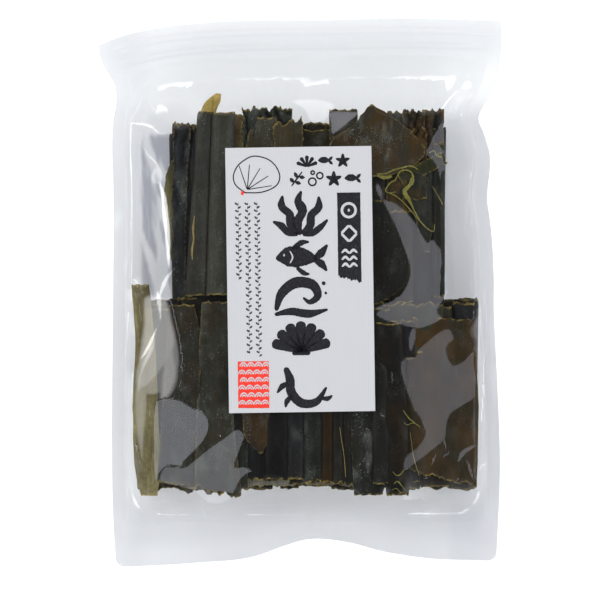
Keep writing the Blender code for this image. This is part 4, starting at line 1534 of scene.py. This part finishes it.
    def out_of_lamps(self, x: Array, y: Array, rise_x: Array, rise_y: Array) -> tuple[Array, Array]:
        """Slopes that mirror no lamp: one that would moves back towards the flat until it has left the lamp's
        reach. For the low key lamps so does every steeper one, so that no ring of light is left where slopes
        pass the lamp; the panels, nearly overhead, leave the steeper ones.

        Args:
            x, y: The points.
            rise_x: Rise along X.
            rise_y: Rise along Y.

        Returns:
            The moved rises.
        """
        for lamp in Lamp:
            mirror_x, mirror_y, reach = lamp.mirror_slope(x, y)
            steep = np.hypot(mirror_x, mirror_y)
            way_x, way_y = mirror_x / steep, mirror_y / steep
            along = (rise_x - mirror_x) * way_x + (rise_y - mirror_y) * way_y
            aside = np.abs((rise_y - mirror_y) * way_x - (rise_x - mirror_x) * way_y)
            clear = self.clearance * reach
            rim = -np.sqrt(np.maximum(clear ** 2 - aside ** 2, 0.0))
            near = np.where(aside < clear, rim, 3 * (aside - clear))
            back = np.maximum(along - near, 0.0)
            if lamp in (Lamp.PANEL_LEFT, Lamp.PANEL_RIGHT):
                back = np.where((aside < clear) & (along < reach + self.steeper), back, 0.0)
            rise_x, rise_y = rise_x - back * way_x, rise_y - back * way_y
        return rise_x, rise_y

    def relax(self, start: Array, fixed: Array, lowest: Array, rounds: int) -> Array:
        """Over-relaxation of the film's heights on alternate squares of a chessboard: each free point moves
        towards the mean of its four neighbours plus the inflation, and stays at or over its lowest height.

        Args:
            start: Heights to begin from.
            fixed: True where the height stays.
            lowest: Lowest height of each point.
            rounds: Passes over the grid.

        Returns:
            The settled heights.
        """
        height = start.copy()
        row, column = np.indices(height.shape)
        turns = [((row + column) % 2 == odd) & ~fixed for odd in (0, 1)]
        for turn in range(2 * rounds):
            wide = np.pad(height, 1)
            mean = (wide[1:-1, 2:] + wide[1:-1, :-2] + wide[2:, 1:-1] + wide[:-2, 1:-1]) / 4 + self.inflation
            settled = np.maximum(height + 1.75 * (mean - height), lowest)
            height = np.where(turns[turn % 2], settled, height)
        return height

    def back_height(self, u: Array, v: Array, x: Array, y: Array, middle: Array, sealed: Array) -> Array:
        """The back sheet: flat on the surface under the kelp, and up to the welds by an S curve from the
        kelp's edge on each side.

        Returns:
            Heights.
        """
        left, right, top = self.form.from_edges(u, v, x, y)
        climbs = [(left - self.form.side_weld) / 14.0, (right - self.form.side_weld) / 14.0,
                  (y - self.form.bottom_weld_y) / 17.0, (top - self.form.header) / 28.0]
        fall = np.prod([smooth_step(climb, 0.0, 1.0) for climb in climbs], axis=0)
        creases = 0.25 * ripple(x, y, 30.0, 9) * fall * (1 - fall) * 4
        return np.where(sealed, middle - self.ply, 0.2 + (middle - 0.35) * (1 - fall) + creases)


# Label

@dataclass
class PaperLabel:
    """The paper label on the film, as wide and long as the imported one, and lying where it lies.

    Attributes:
        width, length: Its sides.
        centre: Its middle.
        turn: Its anticlockwise turn in radians.
        thick: Thickness of the paper.
    """

    width: float = 72.5
    length: float = 131.5
    centre: tuple[float, float] = (0.1, 6.5)
    turn: float = math.radians(0.85)
    thick: float = 0.25
    height_terms: Array = field(default_factory=lambda: np.zeros(6))

    def __post_init__(self) -> None:
        """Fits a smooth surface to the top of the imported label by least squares."""
        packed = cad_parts["label"].data
        places = np.empty(len(packed.vertices) * 3, np.float32)
        packed.vertices.foreach_get("co", places)
        x, y, z = places.reshape(-1, 3).T.astype(float) / MM
        self.height_terms = np.linalg.lstsq(self.terms(x, y), z, rcond=None)[0]

    def terms(self, x: Array, y: Array) -> Array:
        """The terms 1, x, x^2, y, y^2 and y^4 at each point, with X and Y in units of 50 mm."""
        a, b = x / 50, y / 50
        return np.stack([np.ones_like(a), a, a * a, b, b * b, b ** 4], axis=-1)

    def top(self, x: Array, y: Array) -> Array:
        """Height of the paper's face: the fitted surface plus half the paper."""
        return self.terms(x, y) @ self.height_terms + self.thick / 2

    def place(self, a: Array, b: Array) -> tuple[Array, Array]:
        """X and Y of points given across and along the label from its middle."""
        cos, sin = math.cos(self.turn), math.sin(self.turn)
        return self.centre[0] + a * cos - b * sin, self.centre[1] + a * sin + b * cos

    def under(self, x: Array, y: Array) -> tuple[Array, Array]:
        """1 where the label covers a point, and the height of its underside there."""
        dx, dy = x - self.centre[0], y - self.centre[1]
        a = dx * math.cos(self.turn) + dy * math.sin(self.turn)
        b = -dx * math.sin(self.turn) + dy * math.cos(self.turn)
        covered = (np.abs(a) < self.width / 2 + 0.6) & (np.abs(b) < self.length / 2 + 0.6)
        return covered.astype(float), self.top(x, y) - self.thick

    def build(self, material: Material) -> Piece:
        """The sheet of paper, a closed slab that follows the film.

        Args:
            material: The paper's finish.

        Returns:
            The piece.
        """
        a, b = np.meshgrid(np.linspace(-self.width / 2, self.width / 2, 60),
                           np.linspace(-self.length / 2, self.length / 2, 108))
        x, y = self.place(a, b)
        z = self.top(x, y)
        batch = MeshBatch("label_paper")
        batch.add_slab(placed(x, y, z), placed(x, y, z - self.thick))
        piece = batch.build(material, 40.0)
        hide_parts("label")
        return piece


@dataclass(frozen=True)
class BrushStroke:
    """One stroke of ink on the label.

    Attributes:
        path: Points across and along the label, from its middle.
        widths: Widths of the stroke, evenly spaced along it.
        rough: How uneven its edges are, as a share of its width.
        blunt: True for a square-ended bar, and False for ends that round off.
    """

    path: Stations
    widths: tuple[float, ...]
    rough: float = 0.06
    blunt: bool = False

    def moved(self, a: float, b: float, size: float = 1.0) -> "BrushStroke":
        """The stroke scaled about 0, 0 and moved there."""
        path = [(a + size * point[0], b + size * point[1]) for point in self.path]
        return BrushStroke(path, tuple(size * width for width in self.widths), self.rough, self.blunt)


def strokes(*rows: tuple[Stations, tuple[float, ...]]) -> list[BrushStroke]:
    """Strokes of the usual roughness, from the path and the widths of each."""
    return [BrushStroke(path, widths) for path, widths in rows]


def fan_of(foot: tuple[float, float], reach: float, degrees: tuple[float, ...],
           widths: tuple[float, ...]) -> list[BrushStroke]:
    """Straight strokes that fan out from one foot.

    Args:
        foot: Where they start.
        reach: Their length.
        degrees: Their directions, anticlockwise from the label's right.
        widths: Widths along each.

    Returns:
        The strokes.
    """
    ends = [(foot[0] + reach * math.cos(math.radians(angle)), foot[1] + reach * math.sin(math.radians(angle)))
            for angle in degrees]
    return strokes(*(([foot, between(foot, end), end], widths) for end in ends))


def between(one: tuple[float, float], other: tuple[float, float]) -> tuple[float, float]:
    """The point halfway between two."""
    return (one[0] + other[0]) / 2, (one[1] + other[1]) / 2


def ring_of(centre: tuple[float, float], radius: float, width: float) -> BrushStroke:
    """A round outline."""
    turn = np.linspace(0, 2 * math.pi, 13)
    return BrushStroke([(centre[0] + radius * math.cos(t), centre[1] + radius * math.sin(t)) for t in turn],
                       (width,), 0.05, True)


@dataclass
class LabelPrint:
    """The ink on the label: a plain decorative design of brush-drawn sea life, waves and blocks.

    Attributes:
        label: The paper under it.
        ink_rise: Height of a layer of ink.
    """

    label: PaperLabel
    ink_rise: float = 0.05

    def draw(self, batch: MeshBatch, strokes: list[BrushStroke], seed: int, layer: int = 1) -> None:
        """Adds strokes as ribbons of ink.

        Args:
            batch: Batch to add to.
            strokes: The strokes.
            seed: Seed of their unevenness.
            layer: 1 on the paper, 2 over other ink.
        """
        for number, stroke in enumerate(strokes):
            a, b = ribbon(stroke.path, stroke.widths, stroke.rough, stroke.blunt, seed + 3 * number)
            self.put(batch, a, b, layer)

    def put(self, batch: MeshBatch, a: Array, b: Array, layer: int = 1) -> None:
        """Lays a grid of points across and along the label onto it, as a thin closed slab of ink."""
        x, y = self.label.place(a, b)
        top = self.label.top(x, y) + self.ink_rise * layer
        below = top - self.ink_rise * 0.9
        batch.add_slab(placed(x, y, top), placed(x, y, below))

    def block(self, batch: MeshBatch, low: tuple[float, float], high: tuple[float, float], seed: int,
              torn: float = 0.0) -> None:
        """Adds a filled rectangle whose lower edge may be torn."""
        u, v = shares(28, 40)
        a = low[0] + (high[0] - low[0]) * u + 0.08 * ragged(v, seed) * (2 * u - 1)
        slant = torn * (0.5 * ragged(u, seed + 1) + 1.2 * (0.5 - u))
        self.put(batch, a, low[1] + (high[1] - low[1]) * v + slant * (1 - v) ** 6)

    def build(self, black: Material, red: Material, white: Material,
              grey: Material) -> list[Piece]:
        """Prints each ink.

        Args:
            black: Ink of the drawings and the banner.
            red: Ink of the block and the dot.
            white: Bare paper inside them.
            grey: Ink of the thin columns.

        Returns:
            The pieces.
        """
        pieces = [self.brush_drawing().build(black), self.thin_columns().build(grey),
                  self.red_block().build(red), self.bare_shapes().build(white)]
        return pieces

    def kelp_plant(self) -> list[BrushStroke]:
        """Five broad wavy blades that fan out from one foot, about 27 mm across and 22 mm tall."""
        return strokes(
            ([(0, -10), (-1.4, -4), (1.2, 2), (-0.8, 7), (0.8, 12)], (2.0, 4.8, 4.2, 5.0, 3.4, 1.0)),
            ([(-0.5, -9.4), (-4.6, -5), (-5.2, 0.4), (-9.0, 4.4), (-8.6, 9.8)], (1.8, 3.8, 4.4, 3.8, 3.8,
                1.0)),
            ([(0.5, -9.4), (4.8, -5.6), (5.6, -0.2), (9.2, 3.6), (9.4, 9.2)], (1.8, 4.0, 4.2, 3.8, 3.8, 1.0)),
            ([(-1, -9.8), (-6, -8.6), (-9.4, -5.2), (-13.6, -3.0)], (1.6, 3.4, 3.6, 1.0)),
            ([(1, -9.8), (6, -9), (10, -6.2), (13.8, -2.4)], (1.6, 3.4, 3.2, 1.0)),
        )

    def fish(self) -> list[BrushStroke]:
        """A fish that looks left, 26 mm long: a full body, two fins and a forked tail."""
        return strokes(
            ([(-12.2, 0), (-5, 0.8), (2, 0.4), (8.6, -0.6)], (1.6, 9.6, 10.8, 7.4, 2.0)),
            ([(7.0, -0.4), (10.4, 2.4), (13.6, 6.6)], (2.4, 4.2, 1.0)),
            ([(7.0, -0.8), (10.4, -3.0), (13.2, -6.6)], (2.4, 4.0, 1.0)),
            ([(-4.0, 4.4), (0.6, 7.6), (4.6, 8.0)], (2.2, 3.0, 0.8)),
            ([(-2.0, -4.4), (1.6, -7.4), (4.6, -8.0)], (1.8, 2.6, 0.8)),
        )

    def wave(self) -> list[BrushStroke]:
        """A breaking wave: one heavy curl over a long lower stroke, with drops of spray."""
        return strokes(
            ([(-12.5, -7), (-9.5, 1.6), (-2.5, 6.8), (5.6, 5.8), (8.4, 0.4), (4.6, -2.8), (1.0, -0.6)], (2.0,
                4.6, 5.6, 5.0, 3.8, 2.6, 1.0)),
            ([(-13.2, -8.8), (-5, -7.4), (4, -8.6), (13.4, -6.6)], (1.6, 3.8, 4.2, 1.0)),
            ([(10.6, 5.8), (12.2, 7.0)], (2.0, 2.2, 1.6)),
            ([(11.8, 1.2), (13.0, 1.8)], (1.6, 1.7, 1.2)),
        )

    def shell(self) -> list[BrushStroke]:
        """A scallop shell: broad ribs that fan from its hinge."""
        ribs = fan_of((0, -7.6), 15.2, (18, 42, 66, 90, 114, 138, 162), (2.4, 3.4, 4.6, 5.6))
        return ribs + strokes(([(-4.6, -8.4), (0, -7.8), (4.6, -8.4)], (2.0, 3.2, 2.0)))

    def frond(self) -> list[BrushStroke]:
        """A curved frond with three leaflets on its outer side."""
        return strokes(
            ([(-8.6, 8.4), (-6.4, 2.4), (-5.8, -4), (-0.8, -9.4), (6.6, -8.8), (11.8, -1.6)], (2.4, 4.4, 4.6,
                4.6, 3.8, 1.0)),
            ([(-6.8, 0.6), (-10.2, -1.0), (-13.0, -4.4)], (1.8, 3.0, 0.8)),
            ([(-5.0, -5.2), (-8.0, -8.4), (-8.8, -11.6)], (1.8, 2.8, 0.8)),
            ([(8.2, -7.0), (12.0, -7.4), (14.6, -5.8)], (1.4, 2.6, 0.8)),
        )

    def small_drawings(self) -> dict[str, list[BrushStroke]]:
        """Small drawings about 7 mm wide: a fish, a scallop, a starfish, a leaf spray and bubbles."""
        tails = [([(1.8, 0), (3.8, up)], (0.8, 1.6, 0.5)) for up in (2.0, -2.0)]
        fish = strokes(([(-3.6, 0), (-0.8, 0.3), (2.4, 0)], (0.6, 3.0, 3.2, 0.8)), *tails)
        leaves = (((-1.6, -1.6), (-3.4, 0.6)), ((0, 0.4), (-1.4, 3.2)), ((-1.2, -1.2), (1.6, -2.2)),
                  ((0.6, 1.0), (3.4, 0.6)))
        spray = strokes(([(-2.8, -3.2), (-0.4, 0), (2.2, 3.4)], (0.6, 0.8, 0.6)),
                        *(([start, end], (0.6, 1.9, 0.5)) for start, end in leaves))
        bubbles = [ring_of(centre, radius, 0.75) for centre, radius in (
            ((-1.5, -1.3), 1.7), ((1.9, 1.4), 1.4), ((-1.3, 2.8), 0.8))]
        return {"fish": fish, "scallop": fan_of((0, -2.9), 5.6, (22, 56, 90, 124, 158), (0.8, 1.4, 2.2)),
                "star": fan_of((0, 0), 3.7, (90, 162, 234, 306, 18), (2.4, 1.9, 0.8)), "spray": spray,
                "bubbles": bubbles}

    def brush_drawing(self) -> MeshBatch:
        """The five large drawings down the middle, the small ones above, the outlined shell and the
        banner."""
        batch = MeshBatch("label_ink_black")
        large = ((self.kelp_plant(), 0.4, 32.0), (self.fish(), 0.2, 10.6), (self.wave(), 0.2, -8.4),
                 (self.shell(), 0.0, -28.2), (self.frond(), 0.6, -51.8))
        for number, (drawing, a, b) in enumerate(large):
            self.draw(batch, [stroke.moved(a, b) for stroke in drawing], 40 + 50 * number)
        drawings = self.small_drawings()
        small = (("scallop", 4.2, 58.8, 1.0), ("fish", 13.2, 58.8, 1.0), ("star", 22.0, 58.6, 1.0),
                 ("spray", -0.6, 49.8, 1.1), ("bubbles", 8.4, 49.8, 1.1), ("star", 17.4, 49.6, 1.1),
                 ("fish", 26.6, 49.8, 1.1))
        for number, (name, a, b, size) in enumerate(small):
            self.draw(batch, [stroke.moved(a, b, size) for stroke in drawings[name]], 400 + 40 * number)
        rim = [(-26.6, 43.4), (-31.2, 47.2), (-32.4, 51.6), (-30.6, 56.2), (-27.4, 59.2), (-23.0, 61.4),
               (-18.2, 61.0), (-13.8, 59.0), (-10.6, 55.2), (-9.4, 50.6), (-11.6, 46.4), (-18.4, 43.6),
               (-26.6, 43.4)]
        ribs = fan_of((-25.6, 45.0), 12.6, (8, 32, 58, 84, 108), (0.5, 0.4))
        self.draw(batch, [BrushStroke(rim, (0.6,), 0.08, True)] + ribs, 900)
        self.block(batch, (18.9, -0.2), (30.4, 42.8), 7, torn=2.4)
        return batch

    def thin_columns(self) -> MeshBatch:
        """Three thin upright vines: short leaves on alternate sides of a broken stem."""
        batch = MeshBatch("label_ink_grey")
        draw = np.random.default_rng(21)
        for a, high, low in ((-20.9, 38.0, -37.5), (-25.6, 38.0, -36.0), (-30.3, 38.0, -0.5)):
            for number, b in enumerate(np.arange(high, low, -1.75)):
                side, reach = (1 if number % 2 else -1), draw.uniform(1.2, 1.6)
                tip = (a + side * reach, b + draw.uniform(0.3, 0.9))
                vine = [([(a, b - 0.6), (a + side * reach * 0.6, b), tip], (0.35, 1.05, 0.35))]
                if number % 4 != 3:
                    vine.append(([(a, b - 0.9), (a + 0.05, b + 0.5)], (0.42, 0.36)))
                self.draw(batch, strokes(*vine), int(draw.integers(1000)))
        return batch

    def red_block(self) -> MeshBatch:
        """The red block at the lower left, and the dot by the outlined shell."""
        batch = MeshBatch("label_ink_red")
        self.block(batch, (-31.6, -63.4), (-16.2, -40.2), 31, torn=0.2)
        self.draw(batch, [BrushStroke([(-28.8, 43.3), (-28.0, 43.3), (-27.2, 43.3)], (2.3, 2.5, 2.3))], 90, 2)
        return batch

    def bare_shapes(self) -> MeshBatch:
        """Bare paper: ring, diamond and ripples in the banner, waves in the red block, and the fish's eye."""
        batch = MeshBatch("label_bare_paper")
        diamond = [(24.6, 26.6), (28.5, 22.5), (24.6, 18.4), (20.7, 22.5), (24.6, 26.6)]
        rows = [([(24.0, 34.0), (25.2, 34.0)], (1.7, 1.7))]
        rows += [([a, between(a, b), b], (1.3,)) for a, b in zip(diamond, diamond[1:])]
        rows += [([(20.7, b), (22.6, b + 1.5), (24.6, b), (26.6, b + 1.5), (28.6, b)],
                  (0.8, 1.4, 1.0, 1.4, 0.8)) for b in (12.8, 9.4, 6.0)]
        rows += [([(-8.2, 12.2), (-7.4, 12.2)], (1.7, 1.7)),
                 ([(-5.0, 14.4), (-3.6, 11.2), (-5.0, 8.0)], (0.5, 0.8, 0.5))]
        for row in range(6):
            for column in range(4):
                a, b = -29.3 + column * 3.75 + (0.5 if row % 2 else -0.3), -61.8 + row * 3.75
                rows += [([(a + radius * math.cos(t), b + 1.25 * radius * math.sin(t))
                           for t in np.linspace(math.pi, 0, 7)], (0.5, 0.75, 0.5)) for radius in (1.75, 0.85)]
        self.draw(batch, [ring_of((24.6, 34.0), 3.4, 1.3)] + strokes(*rows), 300, 2)
        return batch


# Studio

@dataclass(frozen=True)
class RoundLamp:
    """A round softbox that faces the pouch.

    Attributes:
        lamp: Its direction and the angle it spans.
        radiance: Its brightness, where white paper in full light is about 1.
        colour: Its tint.
    """

    lamp: Lamp
    radiance: float
    colour: str = "#ffffff"

    def build(self) -> Piece:
        """Hangs the lamp. Its brightness falls to its rim as (1 - r^2)^2, as a deep softbox's does. Its width
        is twice its distance times the tangent of half the angle it spans, and its power is pi times radiance
        times area.

        Returns:
            The lamp.
        """
        off, round_x, half = (math.radians(angle) for angle in self.lamp.value)
        radius = LAMP_DISTANCE * math.tan(half)
        data = bpy.data.lights.new(self.lamp.name.lower(), "AREA")
        data.shape, data.size = "DISK", 2 * radius
        data.energy = math.pi * self.radiance * math.pi * radius ** 2
        data.color = linear(self.colour)[:3]
        data.use_nodes = True
        tree = data.node_tree
        tree.nodes.clear()
        place = add_node(tree, "ShaderNodeNewGeometry", {}, "Parametric")
        middle = add_node(tree, "ShaderNodeVectorMath", {0: place, 1: (0.5, 0.5, 0.0)}, operation="SUBTRACT")
        square = add_node(tree, "ShaderNodeVectorMath", {0: middle, 1: middle}, "Value",
                          operation="DOT_PRODUCT")
        inside = add_node(tree, "ShaderNodeMath", {0: square, 1: -4.0, 2: 1.0}, operation="MULTIPLY_ADD",
                          use_clamp=True)
        fall = add_node(tree, "ShaderNodeMath", {0: inside, 1: 2.0}, operation="POWER")
        add_node(tree, "ShaderNodeOutputLight", {0: add_node(tree, "ShaderNodeEmission", {"Strength": fall})})
        made = bpy.data.objects.new(self.lamp.name.lower(), data)
        made.location = tuple(self.lamp.way() * LAMP_DISTANCE)
        made.rotation_euler = (0.0, off, round_x)
        made.visible_camera = False
        bpy.context.scene.collection.objects.link(made)
        return made


@dataclass(frozen=True)
class Studio:
    """A white table under round softboxes, seen straight down by a long lens."""

    view_side: float = 0.300
    view_centre: tuple[float, float] = (0.0, -0.00365)
    sensor: float = 36.0
    floor_colour: str = "#dcdcdc"
    floor_glow: float = 0.45

    def build(self) -> None:
        """Sets the floor, the lamps, the room's light and the camera."""
        self.floor()
        for lamp in (RoundLamp(Lamp.KEY_LEFT, 10.5), RoundLamp(Lamp.KEY_RIGHT, 10.5),
                     RoundLamp(Lamp.KEY_TOP, 9.5), RoundLamp(Lamp.KEY_BOTTOM, 10.5),
                     RoundLamp(Lamp.PANEL_LEFT, 2.2, "#f0f4ff"), RoundLamp(Lamp.PANEL_RIGHT, 2.2, "#f2f2ff")):
            lamp.build()
        self.room()
        data = bpy.data.cameras.new("camera")
        data.sensor_width = self.sensor
        data.lens = self.sensor * CAMERA_HEIGHT / self.view_side
        data.clip_start, data.clip_end = 0.1, 50.0
        camera = bpy.data.objects.new("camera", data)
        camera.location = (*self.view_centre, CAMERA_HEIGHT)
        bpy.context.scene.collection.objects.link(camera)
        bpy.context.scene.camera = camera
        bpy.context.scene.view_settings.view_transform = "Standard"

    def floor(self) -> None:
        """A matt white light table just under the pouch."""
        material, tree = new_tree("matt_white_board")
        place = add_node(tree, "ShaderNodeTexCoord", {}, "Object")
        tooth = add_node(tree, "ShaderNodeTexNoise", {"Vector": place, "Scale": 900.0, "Detail": 2.0}, "Fac")
        bump = add_node(tree, "ShaderNodeBump", {"Strength": 0.05, "Distance": 0.05 * MM, "Height": tooth})
        shader = add_node(tree, "ShaderNodeBsdfPrincipled", {
            "Base Color": linear(self.floor_colour), "Roughness": 0.9, "Specular IOR Level": 0.1,
            "Normal": bump, "Emission Color": (1, 1, 1, 1), "Emission Strength": self.floor_glow})
        add_node(tree, "ShaderNodeOutputMaterial", {"Surface": shader})
        bpy.ops.mesh.primitive_plane_add(size=12.0, location=(0.0, 0.0, -0.0003))
        table = bpy.context.object
        table.name = "white_board"
        table.data.materials.append(material)

    def room(self) -> None:
        """Light from the room, by height: pale near the horizon and dark overhead, as a studio ceiling is."""
        world = bpy.data.worlds.new("studio_room")
        world.use_nodes = True
        tree = world.node_tree
        tree.nodes.clear()
        way = add_node(tree, "ShaderNodeTexCoord", {}, "Generated")
        height = add_node(tree, "ShaderNodeSeparateXYZ", {0: way}, "Z")
        light = add_node(tree, "ShaderNodeMapRange", {"Value": height, "From Min": 0.2, "From Max": 0.85,
                                                      "To Min": 0.8, "To Max": 0.06})
        glow = add_node(tree, "ShaderNodeBackground", {"Color": (1, 1, 1, 1), "Strength": light})
        add_node(tree, "ShaderNodeOutputWorld", {"Surface": glow})
        bpy.context.scene.world = world


def main() -> None:
    """Builds the kelp, the label, the film over them and the studio."""
    logging.basicConfig(level=logging.INFO, format="%(name)s: %(message)s")
    kelp = KelpBed(DriedKelpSkin().build())
    kelp.build()
    label = PaperLabel()
    label.build(LaidPaper().build())
    LabelPrint(label).build(PrintInk("ink_black", "#1e1e24").build(), PrintInk("ink_red", "#e03a2c").build(),
                            LaidPaper("bare_laid_paper").build(), PrintInk("ink_grey", "#3c3c42").build())
    PouchFilm(PouchForm(), ClearFilm().build(), kelp, label).build()
    Studio().build()


if __name__ == "__main__":
    main()
